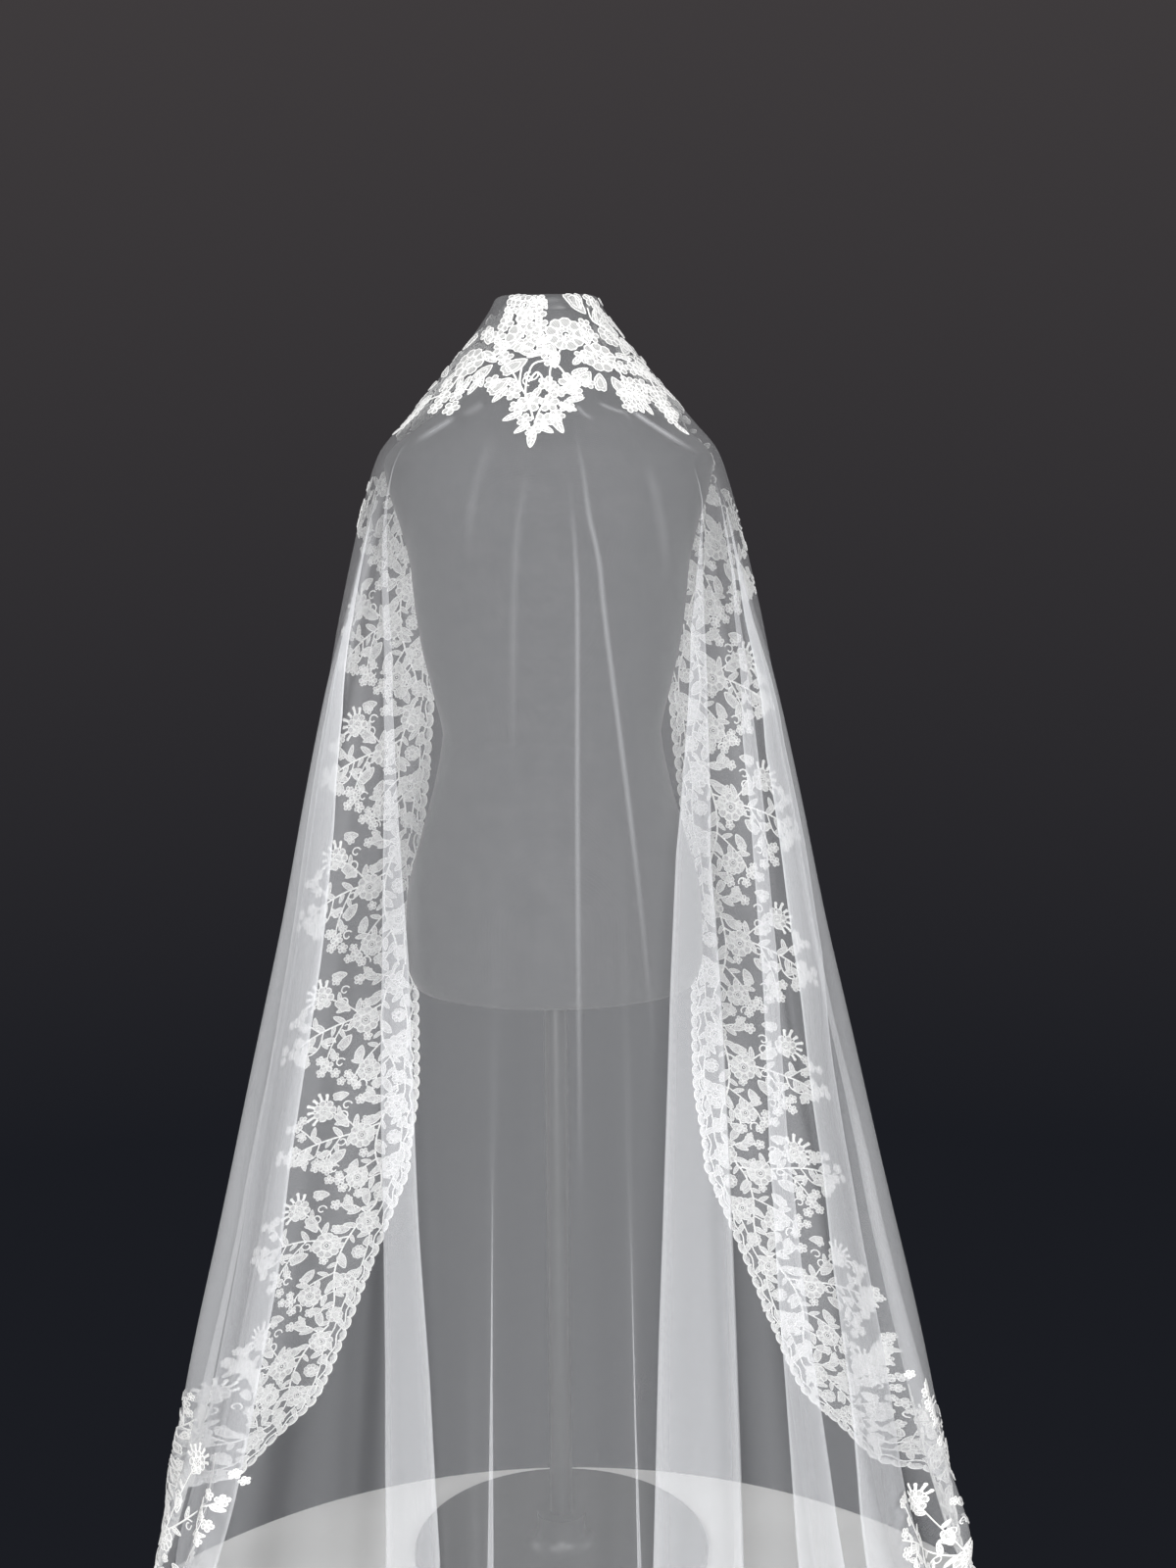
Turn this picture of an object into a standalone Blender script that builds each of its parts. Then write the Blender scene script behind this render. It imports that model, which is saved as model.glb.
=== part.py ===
"""A bridal veil of soft tulle with a wide lace border, draped over a limbless dress form.

The cloth is worked out from level rings round the form. A point of it is named by its place
across the veil (0 at the middle of the back, 1 and -1 at the two free edges) and by its fall,
the way down the cloth from the crown. The back of the veil faces -Y, and the floor is z = 0.
"""

import math

import bmesh
import bpy
import numpy as np

# Cloth
TULLE_WALL = 0.0012
LACE_WALL = 0.0010
SEAM_GAP = 0.0005
LACE_END_GAP = 0.0008
BLOSSOM_RELIEF = 0.0009
BLOSSOM_EVERY = 3

# The veil's cut and how it lies
BORDER_ZONE = 0.20
CROWN_BORDER_SHARE = 0.42
PANEL_HALF_WIDTH = 0.155
PANEL_MOST_SHARE = 0.70
FRONT_EDGE_SHARE = 0.60
LANDING_RADIUS = 0.030
TRAIN_SPREAD = 0.45
TRAIN_FOLD_FADE = 0.45
TRAIN_FOLD_LEFT = 0.40
LANDING_SETTLE = 0.35
FREE_HEIGHT = 0.5

# Lace outline
SIDE_LACE_PEAK = 0.190
SIDE_LACE_VALLEY = 0.145
ROWS_PER_SIDE_PEAK = 3
SLANTED_ROWS = 5
HEM_LACE_PEAK = 0.21
HEM_LACE_VALLEY = 0.155
HEM_PEAKS = 13
SCALLOP = 0.007
MAIN_WAVE_SHARE = 0.8
SMALL_WAVE_TURN = 0.6

# Level rings of the cloth. The front and the back are two half ovals of the same half width.
RING_COLUMNS = ("height", "half_width", "back", "front", "power", "edge_x")
RINGS = (
    (1.5460, 0.000, 0.000, 0.000, 2.00, 0.000),
    (1.5460, 0.044, 0.044, 0.044, 2.00, 0.036),
    (1.5430, 0.056, 0.056, 0.056, 2.00, 0.046),
    (1.5310, 0.063, 0.065, 0.065, 2.00, 0.052),
    (1.5050, 0.081, 0.077, 0.076, 2.00, 0.068),
    (1.4700, 0.110, 0.090, 0.087, 2.05, 0.090),
    (1.4400, 0.135, 0.100, 0.097, 2.10, 0.110),
    (1.4050, 0.165, 0.110, 0.106, 2.20, 0.132),
    (1.3720, 0.192, 0.118, 0.113, 2.30, 0.147),
    (1.3300, 0.207, 0.126, 0.120, 2.35, 0.155),
    (1.2700, 0.223, 0.139, 0.130, 2.30, 0.157),
    (1.1800, 0.244, 0.158, 0.139, 2.20, 0.149),
    (1.1000, 0.260, 0.175, 0.142, 2.15, 0.143),
    (1.0000, 0.279, 0.196, 0.145, 2.10, 0.150),
    (0.8000, 0.315, 0.239, 0.151, 2.00, 0.170),
    (0.5800, 0.358, 0.286, 0.160, 2.00, 0.174),
    (0.4500, 0.384, 0.314, 0.165, 2.00, 0.190),
    (0.2000, 0.438, 0.367, 0.172, 2.00, 0.197),
    (0.0000, 0.479, 0.410, 0.178, 2.00, 0.200),
    (-1.000, 0.479, 0.410, 0.178, 2.00, 0.200),
)

# The hem, as place across and height there. Below 0 it is the length that lies on the floor.
HEM = (
    (0.00, -0.560),
    (0.19, -0.480),
    (0.33, -0.385),
    (0.45, -0.290),
    (0.55, -0.200),
    (0.64, -0.105),
    (0.72, -0.030),
    (0.79, 0.020),
    (0.875, 0.085),
    (0.915, 0.130),
    (0.945, 0.235),
    (0.968, 0.325),
    (1.000, 0.450),
)

# Lower outline of the lace on the crown, as place across and height there.
CROWN_TIPS = (
    (-1.00, 1.412),
    (-0.72, 1.406),
    (-0.45, 1.428),
    (-0.28, 1.442),
    (-0.05, 1.376),
    (0.12, 1.438),
    (0.27, 1.446),
    (0.45, 1.428),
    (0.72, 1.406),
    (1.00, 1.412),
)

# Folds of the hanging cloth. Each starts at a height and grows deeper towards the floor.
FOLD_COLUMNS = ("place", "half_width", "depth", "starts", "lean")
FOLDS = (
    (-0.905, 0.050, 0.012, 1.10, 0.000),
    (-0.780, 0.070, 0.030, 1.30, 0.010),
    (-0.645, 0.062, 0.022, 1.20, 0.008),
    (-0.520, 0.064, 0.036, 1.32, 0.014),
    (-0.385, 0.062, 0.016, 0.95, 0.004),
    (-0.250, 0.050, 0.026, 1.34, 0.010),
    (-0.125, 0.060, 0.009, 0.80, 0.000),
    (0.030, 0.060, 0.010, 1.15, 0.000),
    (0.215, 0.064, 0.032, 1.34, -0.012),
    (0.330, 0.050, 0.015, 0.90, -0.004),
    (0.440, 0.058, 0.036, 1.34, -0.014),
    (0.530, 0.045, 0.012, 0.80, 0.000),
    (0.625, 0.062, 0.034, 1.33, -0.012),
    (0.785, 0.070, 0.030, 1.30, -0.010),
    (0.905, 0.050, 0.012, 1.10, 0.000),
)
FOLD_GROWTH = 0.95
FOLD_MOST = 1.25
FOLD_EASE = 1.2

# Grid of the cloth
PANEL_CELLS = 6
FOLD_CELLS = 20
BORDER_CELLS = 4
FRONT_CELLS = 6
CROWN_FALLS = (0.024, 0.042, 0.055, 0.068, 0.085, 0.108, 0.134, 0.163)
TIP_ROWS = 2
BODY_ROWS = 15
BODY_EASE = 1.18
LANDING_ROWS = (0.09, 0.18, 0.26, 0.34, 0.43, 0.54, 0.67, 0.83, 1.00)
HEM_ROWS = 3
LANDING_HEIGHT = 0.12
SHORTEST_LANDING = 0.14
LANDING_BLEND = 0.05
ARC_SAMPLES = 181
FALL_SAMPLES = 4000
FLAT_RINGS = 2
TINY = 1e-9

# Dress form
TORSO_COLUMNS = ("height", "half_width", "back", "front", "power")
TORSO = (
    (0.742, 0.150, 0.098, 0.092, 2.1),
    (0.748, 0.166, 0.112, 0.106, 2.1),
    (0.780, 0.176, 0.122, 0.114, 2.1),
    (0.850, 0.174, 0.122, 0.112, 2.1),
    (0.930, 0.155, 0.108, 0.104, 2.1),
    (1.000, 0.136, 0.094, 0.096, 2.1),
    (1.050, 0.128, 0.088, 0.092, 2.1),
    (1.100, 0.138, 0.090, 0.100, 2.1),
    (1.150, 0.149, 0.096, 0.113, 2.1),
    (1.200, 0.156, 0.102, 0.122, 2.1),
    (1.245, 0.160, 0.106, 0.117, 2.2),
    (1.290, 0.170, 0.107, 0.106, 2.3),
    (1.330, 0.182, 0.103, 0.093, 2.3),
    (1.362, 0.187, 0.094, 0.081, 2.3),
    (1.380, 0.176, 0.086, 0.073, 2.2),
    (1.400, 0.150, 0.077, 0.065, 2.1),
    (1.420, 0.120, 0.068, 0.058, 2.0),
    (1.440, 0.090, 0.060, 0.053, 2.0),
    (1.460, 0.069, 0.055, 0.050, 2.0),
    (1.480, 0.055, 0.051, 0.050, 2.0),
    (1.530, 0.049, 0.049, 0.049, 2.0),
)
TORSO_SIDES = 32
TALLEST_TORSO_ROW = 0.06
NECK_CAP_RADIUS = 0.053
NECK_CAP_BOTTOM = 1.5303
NECK_CAP_TOP = 1.5453
NECK_CAP_EDGE = 0.014
POLE_RADIUS = 0.014
POLE_SIDES = 16
FIT_GAP = 0.0003
BASE_RADIUS = 0.185
BASE_EDGE = 0.006
BASE_THICKNESS = 0.012
HUB_RADIUS = 0.030
HUB_HEIGHT = 0.055
HUB_FILLET = 0.020
BASE_SIDES = 40
ROUNDING_STEPS = 3

# Finishes: base colour, roughness, metallic
WHITE_TULLE = ((0.93, 0.94, 0.95), 0.60, 0.0)
WHITE_LACE = ((0.96, 0.96, 0.95), 0.70, 0.0)
BLACK_JERSEY = ((0.020, 0.020, 0.022), 0.85, 0.0)
BLACK_PAINT = ((0.015, 0.015, 0.016), 0.35, 0.6)
SMOOTH_ANGLE = math.radians(40)


def clear_scene():
    """Empties the scene."""
    for thing in list(bpy.data.objects):
        bpy.data.objects.remove(thing, do_unlink=True)


def principled(name, finish):
    """A material with one Principled shader of this colour, roughness and metallic value."""
    colour, roughness, metallic = finish
    material = bpy.data.materials.new(name)
    material.use_nodes = True
    shader = material.node_tree.nodes["Principled BSDF"]
    shader.inputs["Base Color"].default_value = (*colour, 1.0)
    shader.inputs["Roughness"].default_value = roughness
    shader.inputs["Metallic"].default_value = metallic
    return material


def add_body(name, mesh, material):
    """Puts one named body in the scene, shaded smooth but for its sharp edges."""
    body = bpy.data.objects.new(name, mesh)
    body.data.materials.append(material)
    body.data.shade_smooth()
    body.data.set_sharp_from_angle(angle=SMOOTH_ANGLE)
    bpy.context.scene.collection.objects.link(body)
    return body


def soft_curve(places, knots, values):
    """Reads a short table as a smooth curve that never overshoots its rows."""
    knots = np.asarray(knots, float)
    values = np.asarray(values, float)
    steps = np.diff(values) / np.diff(knots)
    same_way = steps[1:] * steps[:-1] > 0
    total = np.where(same_way, steps[1:] + steps[:-1], 1.0)
    inner = np.where(same_way, 2 * steps[1:] * steps[:-1] / total, 0.0)
    slopes = np.concatenate([steps[:1], inner, steps[-1:]])
    at = np.clip(places, knots[0], knots[-1])
    row = np.clip(np.searchsorted(knots, at, side="right") - 1, 0, len(knots) - 2)
    width = knots[row + 1] - knots[row]
    x = (at - knots[row]) / width
    start = (1 + 2 * x) * (1 - x) ** 2 * values[row] + x * (1 - x) ** 2 * width * slopes[row]
    end = x**2 * (3 - 2 * x) * values[row + 1] - x**2 * (1 - x) * width * slopes[row + 1]
    return start + end


def ring_falls():
    """The way down the side of the cloth from the crown to each row of RINGS."""
    table = np.array(RINGS)
    heights = table[:, 0]
    half_widths = table[:, 1]
    steps = np.hypot(np.diff(heights), np.diff(half_widths))
    return np.concatenate([[0.0], np.cumsum(steps)])


FALLS = ring_falls()


def ring_at(fall):
    """The ring's sizes at this fall, by column name."""
    table = np.array(RINGS)
    return {name: soft_curve(fall, FALLS, table[:, k]) for k, name in enumerate(RING_COLUMNS)}


def fall_to(height):
    """The fall at which the cloth reaches a height below the crown's flat top."""
    samples = np.linspace(FALLS[FLAT_RINGS], FALLS[-1], FALL_SAMPLES)
    heights = soft_curve(samples, FALLS, np.array(RINGS)[:, 0])
    return np.interp(-np.asarray(height, float), -heights, samples)


def oval(angle, half_width, back, front, power):
    """A point of a ring. The angle is 0 at the middle of the back and pi at the front."""
    across = np.abs(np.sin(angle)) ** (2 / power) * np.sign(np.sin(angle))
    along = np.abs(np.cos(angle)) ** (2 / power) * np.sign(np.cos(angle))
    depth = np.where(along > 0, back, front)
    return half_width * across, -depth * along


def edge_angle(ring):
    """The angle at which a free edge hangs in front of the form."""
    ratio = np.clip(ring["edge_x"] / np.maximum(ring["half_width"], TINY), 0, 1)
    return math.pi - np.arcsin(ratio ** (ring["power"] / 2))


def column_arc(place, edge_arc):
    """How far round the ring a column hangs: middle panel, then folds, then lace border."""
    border = np.minimum(BORDER_ZONE, CROWN_BORDER_SHARE * edge_arc)
    border_arc = edge_arc - border
    panel_arc = np.minimum(PANEL_HALF_WIDTH, PANEL_MOST_SHARE * border_arc)
    panel_place, border_place = zone_places()
    in_panel = panel_arc * place / panel_place
    fold_share = (place - panel_place) / (border_place - panel_place)
    in_folds = panel_arc + (border_arc - panel_arc) * fold_share
    in_border = edge_arc - border * (1 - place) / (1 - border_place)
    outer = np.where(place < border_place, in_folds, in_border)
    return np.where(place < panel_place, in_panel, outer)


def zone_places():
    """Where the folds and the lace border begin, as places across."""
    cells = PANEL_CELLS + FOLD_CELLS + BORDER_CELLS
    return PANEL_CELLS / cells, (PANEL_CELLS + FOLD_CELLS) / cells


def column_angle(place, fall):
    """The angle round the ring of each point, for arrays of places (0 to 1) and falls."""
    held = np.maximum(fall, CROWN_FALLS[-1])
    angles = np.linspace(0, math.pi, ARC_SAMPLES)
    result = np.empty(np.shape(place))
    for spot in np.ndindex(result.shape):
        ring = ring_at(held[spot])
        x, y = oval(angles, ring["half_width"], ring["back"], ring["front"], ring["power"])
        arcs = np.concatenate([[0.0], np.cumsum(np.hypot(np.diff(x), np.diff(y)))])
        edge_arc = np.interp(edge_angle(ring), angles, arcs)
        result[spot] = np.interp(column_arc(place[spot], edge_arc), arcs, angles)
    return result


def fold_shift(place, height):
    """How far the folds push the cloth outward, and how far they lean sideways."""
    out = np.zeros(np.shape(place))
    lean = np.zeros(np.shape(place))
    for row in FOLDS:
        fold = dict(zip(FOLD_COLUMNS, row))
        inside = np.clip((place - fold["place"]) / fold["half_width"], -1, 1)
        bump = np.cos(inside * math.pi / 2) ** 2
        growth = np.clip((fold["starts"] - height) / FOLD_GROWTH, 0, FOLD_MOST) ** FOLD_EASE
        out += fold["depth"] * bump * growth
        lean += fold["lean"] * bump * growth
    return out, lean


def cloth_points(place, angle, fall):
    """Points of the middle of the cloth, for arrays of places, angles and falls."""
    ring = ring_at(fall)
    x, y = oval(angle, ring["half_width"], ring["back"], ring["front"], ring["power"])
    depth = np.where(np.cos(angle) > 0, ring["back"], ring["front"])
    out_x = np.sin(angle) * depth
    out_y = -np.cos(angle) * ring["half_width"]
    size = np.maximum(np.hypot(out_x, out_y), TINY)
    out_x, out_y = out_x / size, out_y / size
    height = ring["height"]
    free = height > FREE_HEIGHT
    hanging = 1 / (1 + np.exp(-height / LANDING_RADIUS))
    level = np.where(free, height, LANDING_RADIUS * np.logaddexp(0, height / LANDING_RADIUS))
    run = np.where(free, 0.0, LANDING_RADIUS * np.logaddexp(0, -height / LANDING_RADIUS))
    run_x = out_x * TRAIN_SPREAD
    run_y = out_y * TRAIN_SPREAD - (1 - TRAIN_SPREAD)
    size = np.maximum(np.hypot(run_x, run_y), TINY)
    push, lean = fold_shift(place, height)
    along_floor = np.exp(np.minimum(height, 0) / TRAIN_FOLD_FADE)
    push = push * (TRAIN_FOLD_LEFT + (1 - TRAIN_FOLD_LEFT) * along_floor)
    push = push * (1 - LANDING_SETTLE * (1 - hanging))
    lean = lean * hanging
    across = push * hanging
    up = push * np.sqrt(np.clip(1 - hanging**2, 0, 1)) * ~free
    x = x + out_x * across - out_y * lean + run_x / size * run
    y = y + out_y * across + out_x * lean + run_y / size * run
    z = level + up + TULLE_WALL / 2
    return np.stack([x, y, z], axis=-1)


def lace_peak(share, peak, valley):
    """Width of the lace along its inner outline, from valley to peak and back as share runs on."""
    wave = 0.5 + 0.5 * np.cos(2 * math.pi * share)
    small = 0.5 + 0.5 * np.cos(4 * math.pi * share + SMALL_WAVE_TURN)
    mixed = MAIN_WAVE_SHARE * wave + (1 - MAIN_WAVE_SHARE) * small
    return valley + (peak - valley) * mixed


def smooth_most(a, b):
    """The larger of two lengths, with a soft change from one to the other."""
    return (a + b + np.sqrt((a - b) ** 2 + LANDING_BLEND**2)) / 2


def skirt_heights(places):
    """Heights of the rows below the crown for each column, as an array of rows by columns."""
    signed = np.asarray(places)
    across = np.abs(signed)
    hem = soft_curve(across, *zip(*HEM))
    hem_lace = lace_peak(signed * HEM_PEAKS / 2, HEM_LACE_PEAK, HEM_LACE_VALLEY)
    tips = soft_curve(signed, *zip(*CROWN_TIPS))
    collar = ring_at(CROWN_FALLS[-1])["height"]
    body_end = hem + hem_lace
    landing = smooth_most(SHORTEST_LANDING, LANDING_HEIGHT - body_end)
    body_start = body_end + landing
    rows = [collar + (tips - collar) * (k + 1) / TIP_ROWS for k in range(TIP_ROWS)]
    for k in range(1, BODY_ROWS + 1):
        rows.append(tips + (body_start - tips) * (k / BODY_ROWS) ** BODY_EASE)
    rows += [body_start - landing * share for share in LANDING_ROWS]
    for k in range(1, HEM_ROWS + 1):
        rows.append(body_end - hem_lace * k / HEM_ROWS)
    scallops = np.arange(len(signed)) % 2
    rows[-1] = rows[-1] - SCALLOP * scallops
    return np.array(rows)


def veil_grid():
    """The cloth's nodes: crown rows go all the way round, skirt rows from edge to edge."""
    cells = PANEL_CELLS + FOLD_CELLS + BORDER_CELLS
    places = np.arange(-cells, cells + 1) / cells
    heights = skirt_heights(places)
    falls = fall_to(heights)
    border_place = zone_places()[1]
    signed = np.tile(places, (len(heights), 1))
    for row in range(len(heights)):
        rows_left = TIP_ROWS + BODY_ROWS - row
        swing = (SIDE_LACE_PEAK - SIDE_LACE_VALLEY) * min(max(rows_left / SLANTED_ROWS, 0), 1)
        middle = (SIDE_LACE_PEAK + SIDE_LACE_VALLEY) / 2
        lace = lace_peak(row / ROWS_PER_SIDE_PEAK, middle + swing / 2, middle - swing / 2)
        scallop = SCALLOP * (row % 2) * (rows_left > 0)
        inner = 1 - (1 - border_place) * lace / BORDER_ZONE
        outer = 1 + (1 - border_place) * scallop / BORDER_ZONE
        for k in range(BORDER_CELLS + 1):
            place = inner + (outer - inner) * k / BORDER_CELLS
            column = cells + PANEL_CELLS + FOLD_CELLS + k
            signed[row, column] = place
            signed[row, 2 * cells - column] = -place
    angles = column_angle(np.abs(signed), falls) * np.sign(signed)
    skirt = cloth_points(signed, angles, falls)
    crown = crown_rows(places)
    return crown, skirt


def crown_rows(places):
    """Rows round the crown. After the skirt's columns come those across the front of the neck."""
    collar = CROWN_FALLS[-1]
    back = column_angle(np.abs(places), np.full(len(places), collar)) * np.sign(places)
    edge = back[-1]
    shares = np.arange(1, FRONT_CELLS) / FRONT_CELLS
    front = edge + (2 * math.pi - 2 * edge) * shares
    angles = np.concatenate([back, front])
    from_middle = np.abs(math.pi - np.abs(angles)) / (math.pi - edge)
    reach = FRONT_EDGE_SHARE + (1 - FRONT_EDGE_SHARE) * np.clip(from_middle, 0, 1) ** 2
    rows = [cloth_points(0 * angles, angles, fall * reach) for fall in CROWN_FALLS]
    return np.array(rows)


class Cloth:
    """The tulle's nodes and faces, with the outward direction at each node."""

    def __init__(self):
        crown, skirt = veil_grid()
        self.columns = skirt.shape[1]
        self.round_columns = crown.shape[1]
        self.crown_count = len(crown)
        self.skirt_count = len(skirt)
        top = np.array([[0.0, 0.0, crown[0, 0, 2]]])
        self.points = np.concatenate([top, crown.reshape(-1, 3), skirt.reshape(-1, 3)])
        self.faces = self.all_faces()
        self.outward = self.node_directions()

    def node(self, row, column):
        """Number of the node. Row 0 is the crown's middle, then crown rows, then skirt rows."""
        if row == 0:
            return 0
        if row <= self.crown_count:
            return 1 + (row - 1) * self.round_columns + column % self.round_columns
        skirt_row = row - 1 - self.crown_count
        return 1 + self.crown_count * self.round_columns + skirt_row * self.columns + column

    def cell(self, row, column):
        """The two triangles between this row and column and the next."""
        a = self.node(row, column)
        b = self.node(row, column + 1)
        c = self.node(row + 1, column + 1)
        d = self.node(row + 1, column)
        return [(a, c, b), (a, d, c)] if row else [(a, d, c)]

    def all_faces(self):
        """Triangles of the whole cloth."""
        faces = []
        for row in range(self.crown_count):
            for column in range(self.round_columns):
                faces += self.cell(row, column)
        for row in range(self.crown_count, self.crown_count + self.skirt_count):
            for column in range(self.columns - 1):
                faces += self.cell(row, column)
        return faces

    def node_directions(self):
        """The outward direction at each node, from the triangles round it."""
        corners = self.points[np.array(self.faces)]
        normals = np.cross(corners[:, 1] - corners[:, 0], corners[:, 2] - corners[:, 0])
        total = np.zeros_like(self.points)
        for k in range(3):
            np.add.at(total, np.array(self.faces)[:, k], normals)
        return total / np.linalg.norm(total, axis=1, keepdims=True)


def wall(name, points, outward, faces, inner, outer, material):
    """A closed wall between two offsets of a sheet, with a rim along the sheet's edges."""
    used = sorted({corner for face in faces for corner in face})
    work = bmesh.new()
    skins = []
    for offset in (inner, outer):
        moved = points + outward * np.broadcast_to(offset, len(points))[:, None]
        skins.append({k: work.verts.new(moved[k]) for k in used})
    inside, outside = skins
    edges = set()
    for a, b, c in faces:
        work.faces.new([outside[a], outside[b], outside[c]])
        work.faces.new([inside[c], inside[b], inside[a]])
        edges |= {(a, b), (b, c), (c, a)}
    for a, b in sorted(edges):
        if (b, a) not in edges:
            work.faces.new([outside[b], outside[a], inside[b]])
            work.faces.new([outside[a], inside[a], inside[b]])
    mesh = bpy.data.meshes.new(name)
    work.to_mesh(mesh)
    work.free()
    return add_body(name, mesh, material)


def lace_cells(cloth):
    """Cells under each stretch of lace, by node name."""
    first = cloth.crown_count
    tips = first + TIP_ROWS
    hem = first + cloth.skirt_count - HEM_ROWS
    last = cloth.columns - 1
    crown = [(r, c) for r in range(first) for c in range(cloth.round_columns)]
    crown += [(r, c) for r in range(first, tips) for c in range(last)]
    left = [(r, c) for r in range(tips, hem) for c in range(BORDER_CELLS)]
    right = [(r, last - 1 - c) for r, c in left]
    bottom = [(r, c) for r in range(hem, hem + HEM_ROWS) for c in range(last)]
    return {"lace_crown": crown, "lace_left": left, "lace_right": right, "lace_hem": bottom}


def shortened_rows(cloth, name):
    """Rows where a side stretch stops just short of the next lace, each with its inner neighbour."""
    if name not in ("lace_left", "lace_right"):
        return ()
    tips = cloth.crown_count + TIP_ROWS
    hem = cloth.crown_count + cloth.skirt_count - HEM_ROWS
    return ((tips, tips + 1), (hem, hem - 1))


def add_lace(cloth, material):
    """Each stretch of lace lies on the tulle's own nodes, moved out."""
    for name, cells in lace_cells(cloth).items():
        points = cloth.points.copy()
        outward = cloth.outward.copy()
        faces = [face for row, column in cells for face in cloth.cell(row, column)]
        for row, inner_row in shortened_rows(cloth, name):
            for column in range(cloth.columns):
                here = cloth.node(row, column)
                there = cloth.node(inner_row, column)
                share = LACE_END_GAP / np.linalg.norm(cloth.points[there] - cloth.points[here])
                points[here] += (cloth.points[there] - cloth.points[here]) * share
                outward[here] += (cloth.outward[there] - cloth.outward[here]) * share
        inner = TULLE_WALL / 2 + SEAM_GAP
        blossoms = (np.arange(len(points)) % BLOSSOM_EVERY == 0) * BLOSSOM_RELIEF
        wall(name, points, outward, faces, inner, inner + LACE_WALL + blossoms, material)


def lofted(name, rows, sides, material):
    """A closed body through level ovals, with a flat top and a flat bottom."""
    work = bmesh.new()
    angles = np.arange(sides) * 2 * math.pi / sides
    rings = []
    for height, half_width, back, front, power in rows:
        x, y = oval(angles, half_width, back, front, power)
        rings.append([work.verts.new((a, b, height)) for a, b in zip(x, y)])
    for low, high in zip(rings, rings[1:]):
        for k in range(sides):
            after = (k + 1) % sides
            work.faces.new([low[k], low[after], high[after], high[k]])
    work.faces.new(list(reversed(rings[0])))
    work.faces.new(rings[-1])
    bmesh.ops.recalc_face_normals(work, faces=work.faces)
    mesh = bpy.data.meshes.new(name)
    work.to_mesh(mesh)
    work.free()
    return add_body(name, mesh, material)


def turned(name, profile, sides, material):
    """A body turned round the Z axis from (radius, height) points, bottom to top."""
    rows = [(height, radius, radius, radius, 2.0) for radius, height in profile]
    return lofted(name, rows, sides, material)


def quarter_turns():
    """Angles from 0 to a quarter turn, for a rounded corner."""
    return np.linspace(0, math.pi / 2, ROUNDING_STEPS + 1)


def quarter_round(radius, height, size):
    """Points that round an outer top edge off."""
    turns = quarter_turns()
    return list(zip(radius - size * (1 - np.cos(turns)), height - size * (1 - np.sin(turns))))


def hollow_round(radius, height, size):
    """Points that run from a flat plate up into a hub, as a fillet."""
    turns = quarter_turns()
    return list(zip(radius + size * (1 - np.sin(turns)), height + size * (1 - np.cos(turns))))


def torso_rows():
    """The rows of TORSO, with one more half way up each tall step."""
    table = np.array(TORSO)
    rows = [TORSO[0]]
    for low, high in zip(table[:, 0], table[1:, 0]):
        steps = math.ceil((high - low) / TALLEST_TORSO_ROW)
        for height in np.linspace(low, high, steps + 1)[1:]:
            sizes = [soft_curve(height, table[:, 0], table[:, k]) for k in range(len(TORSO_COLUMNS))]
            rows.append(sizes)
    return rows


def add_dress_form(jersey, paint):
    """The limbless form with its neck cap, pole and round base."""
    lofted("form_torso", torso_rows(), TORSO_SIDES, jersey)
    cap = [(NECK_CAP_RADIUS, NECK_CAP_BOTTOM)]
    cap += quarter_round(NECK_CAP_RADIUS, NECK_CAP_TOP, NECK_CAP_EDGE)
    turned("form_neck_cap", cap, TORSO_SIDES, paint)
    base = [(BASE_RADIUS, 0.0)] + quarter_round(BASE_RADIUS, BASE_THICKNESS, BASE_EDGE)
    base += hollow_round(HUB_RADIUS, BASE_THICKNESS, HUB_FILLET)
    base += [(HUB_RADIUS, HUB_HEIGHT)]
    turned("form_base", base, BASE_SIDES, paint)
    pole_top = TORSO[0][0] - FIT_GAP
    pole = [(POLE_RADIUS, HUB_HEIGHT + FIT_GAP), (POLE_RADIUS, pole_top)]
    turned("form_pole", pole, POLE_SIDES, paint)


def main():
    """Builds the veil and the dress form."""
    clear_scene()
    tulle = principled("tulle", WHITE_TULLE)
    lace = principled("lace", WHITE_LACE)
    jersey = principled("jersey", BLACK_JERSEY)
    paint = principled("paint", BLACK_PAINT)
    cloth = Cloth()
    half = TULLE_WALL / 2
    wall("veil_tulle", cloth.points, cloth.outward, cloth.faces, -half, half, tulle)
    add_lace(cloth, lace)
    add_dress_form(jersey, paint)


main()
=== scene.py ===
"""A bridal veil of soft tulle and corded lace, worn over a limbless dress form.

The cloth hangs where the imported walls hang. A point of it is named by its place across the veil
(0 at the middle of the back, 1 and -1 at the free edges, a little more across the front of the
crown) and by its fall, the way down the cloth from the crown. The back of the veil faces -Y, and
the floor is z = 0.
"""

import logging
import math
from collections.abc import Callable
from dataclasses import dataclass, field
from enum import Enum

import bpy
import numpy as np
from bpy.types import Material, Node, NodeSocket, NodeTree, Object
from mathutils import Euler, Matrix, Vector

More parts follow.
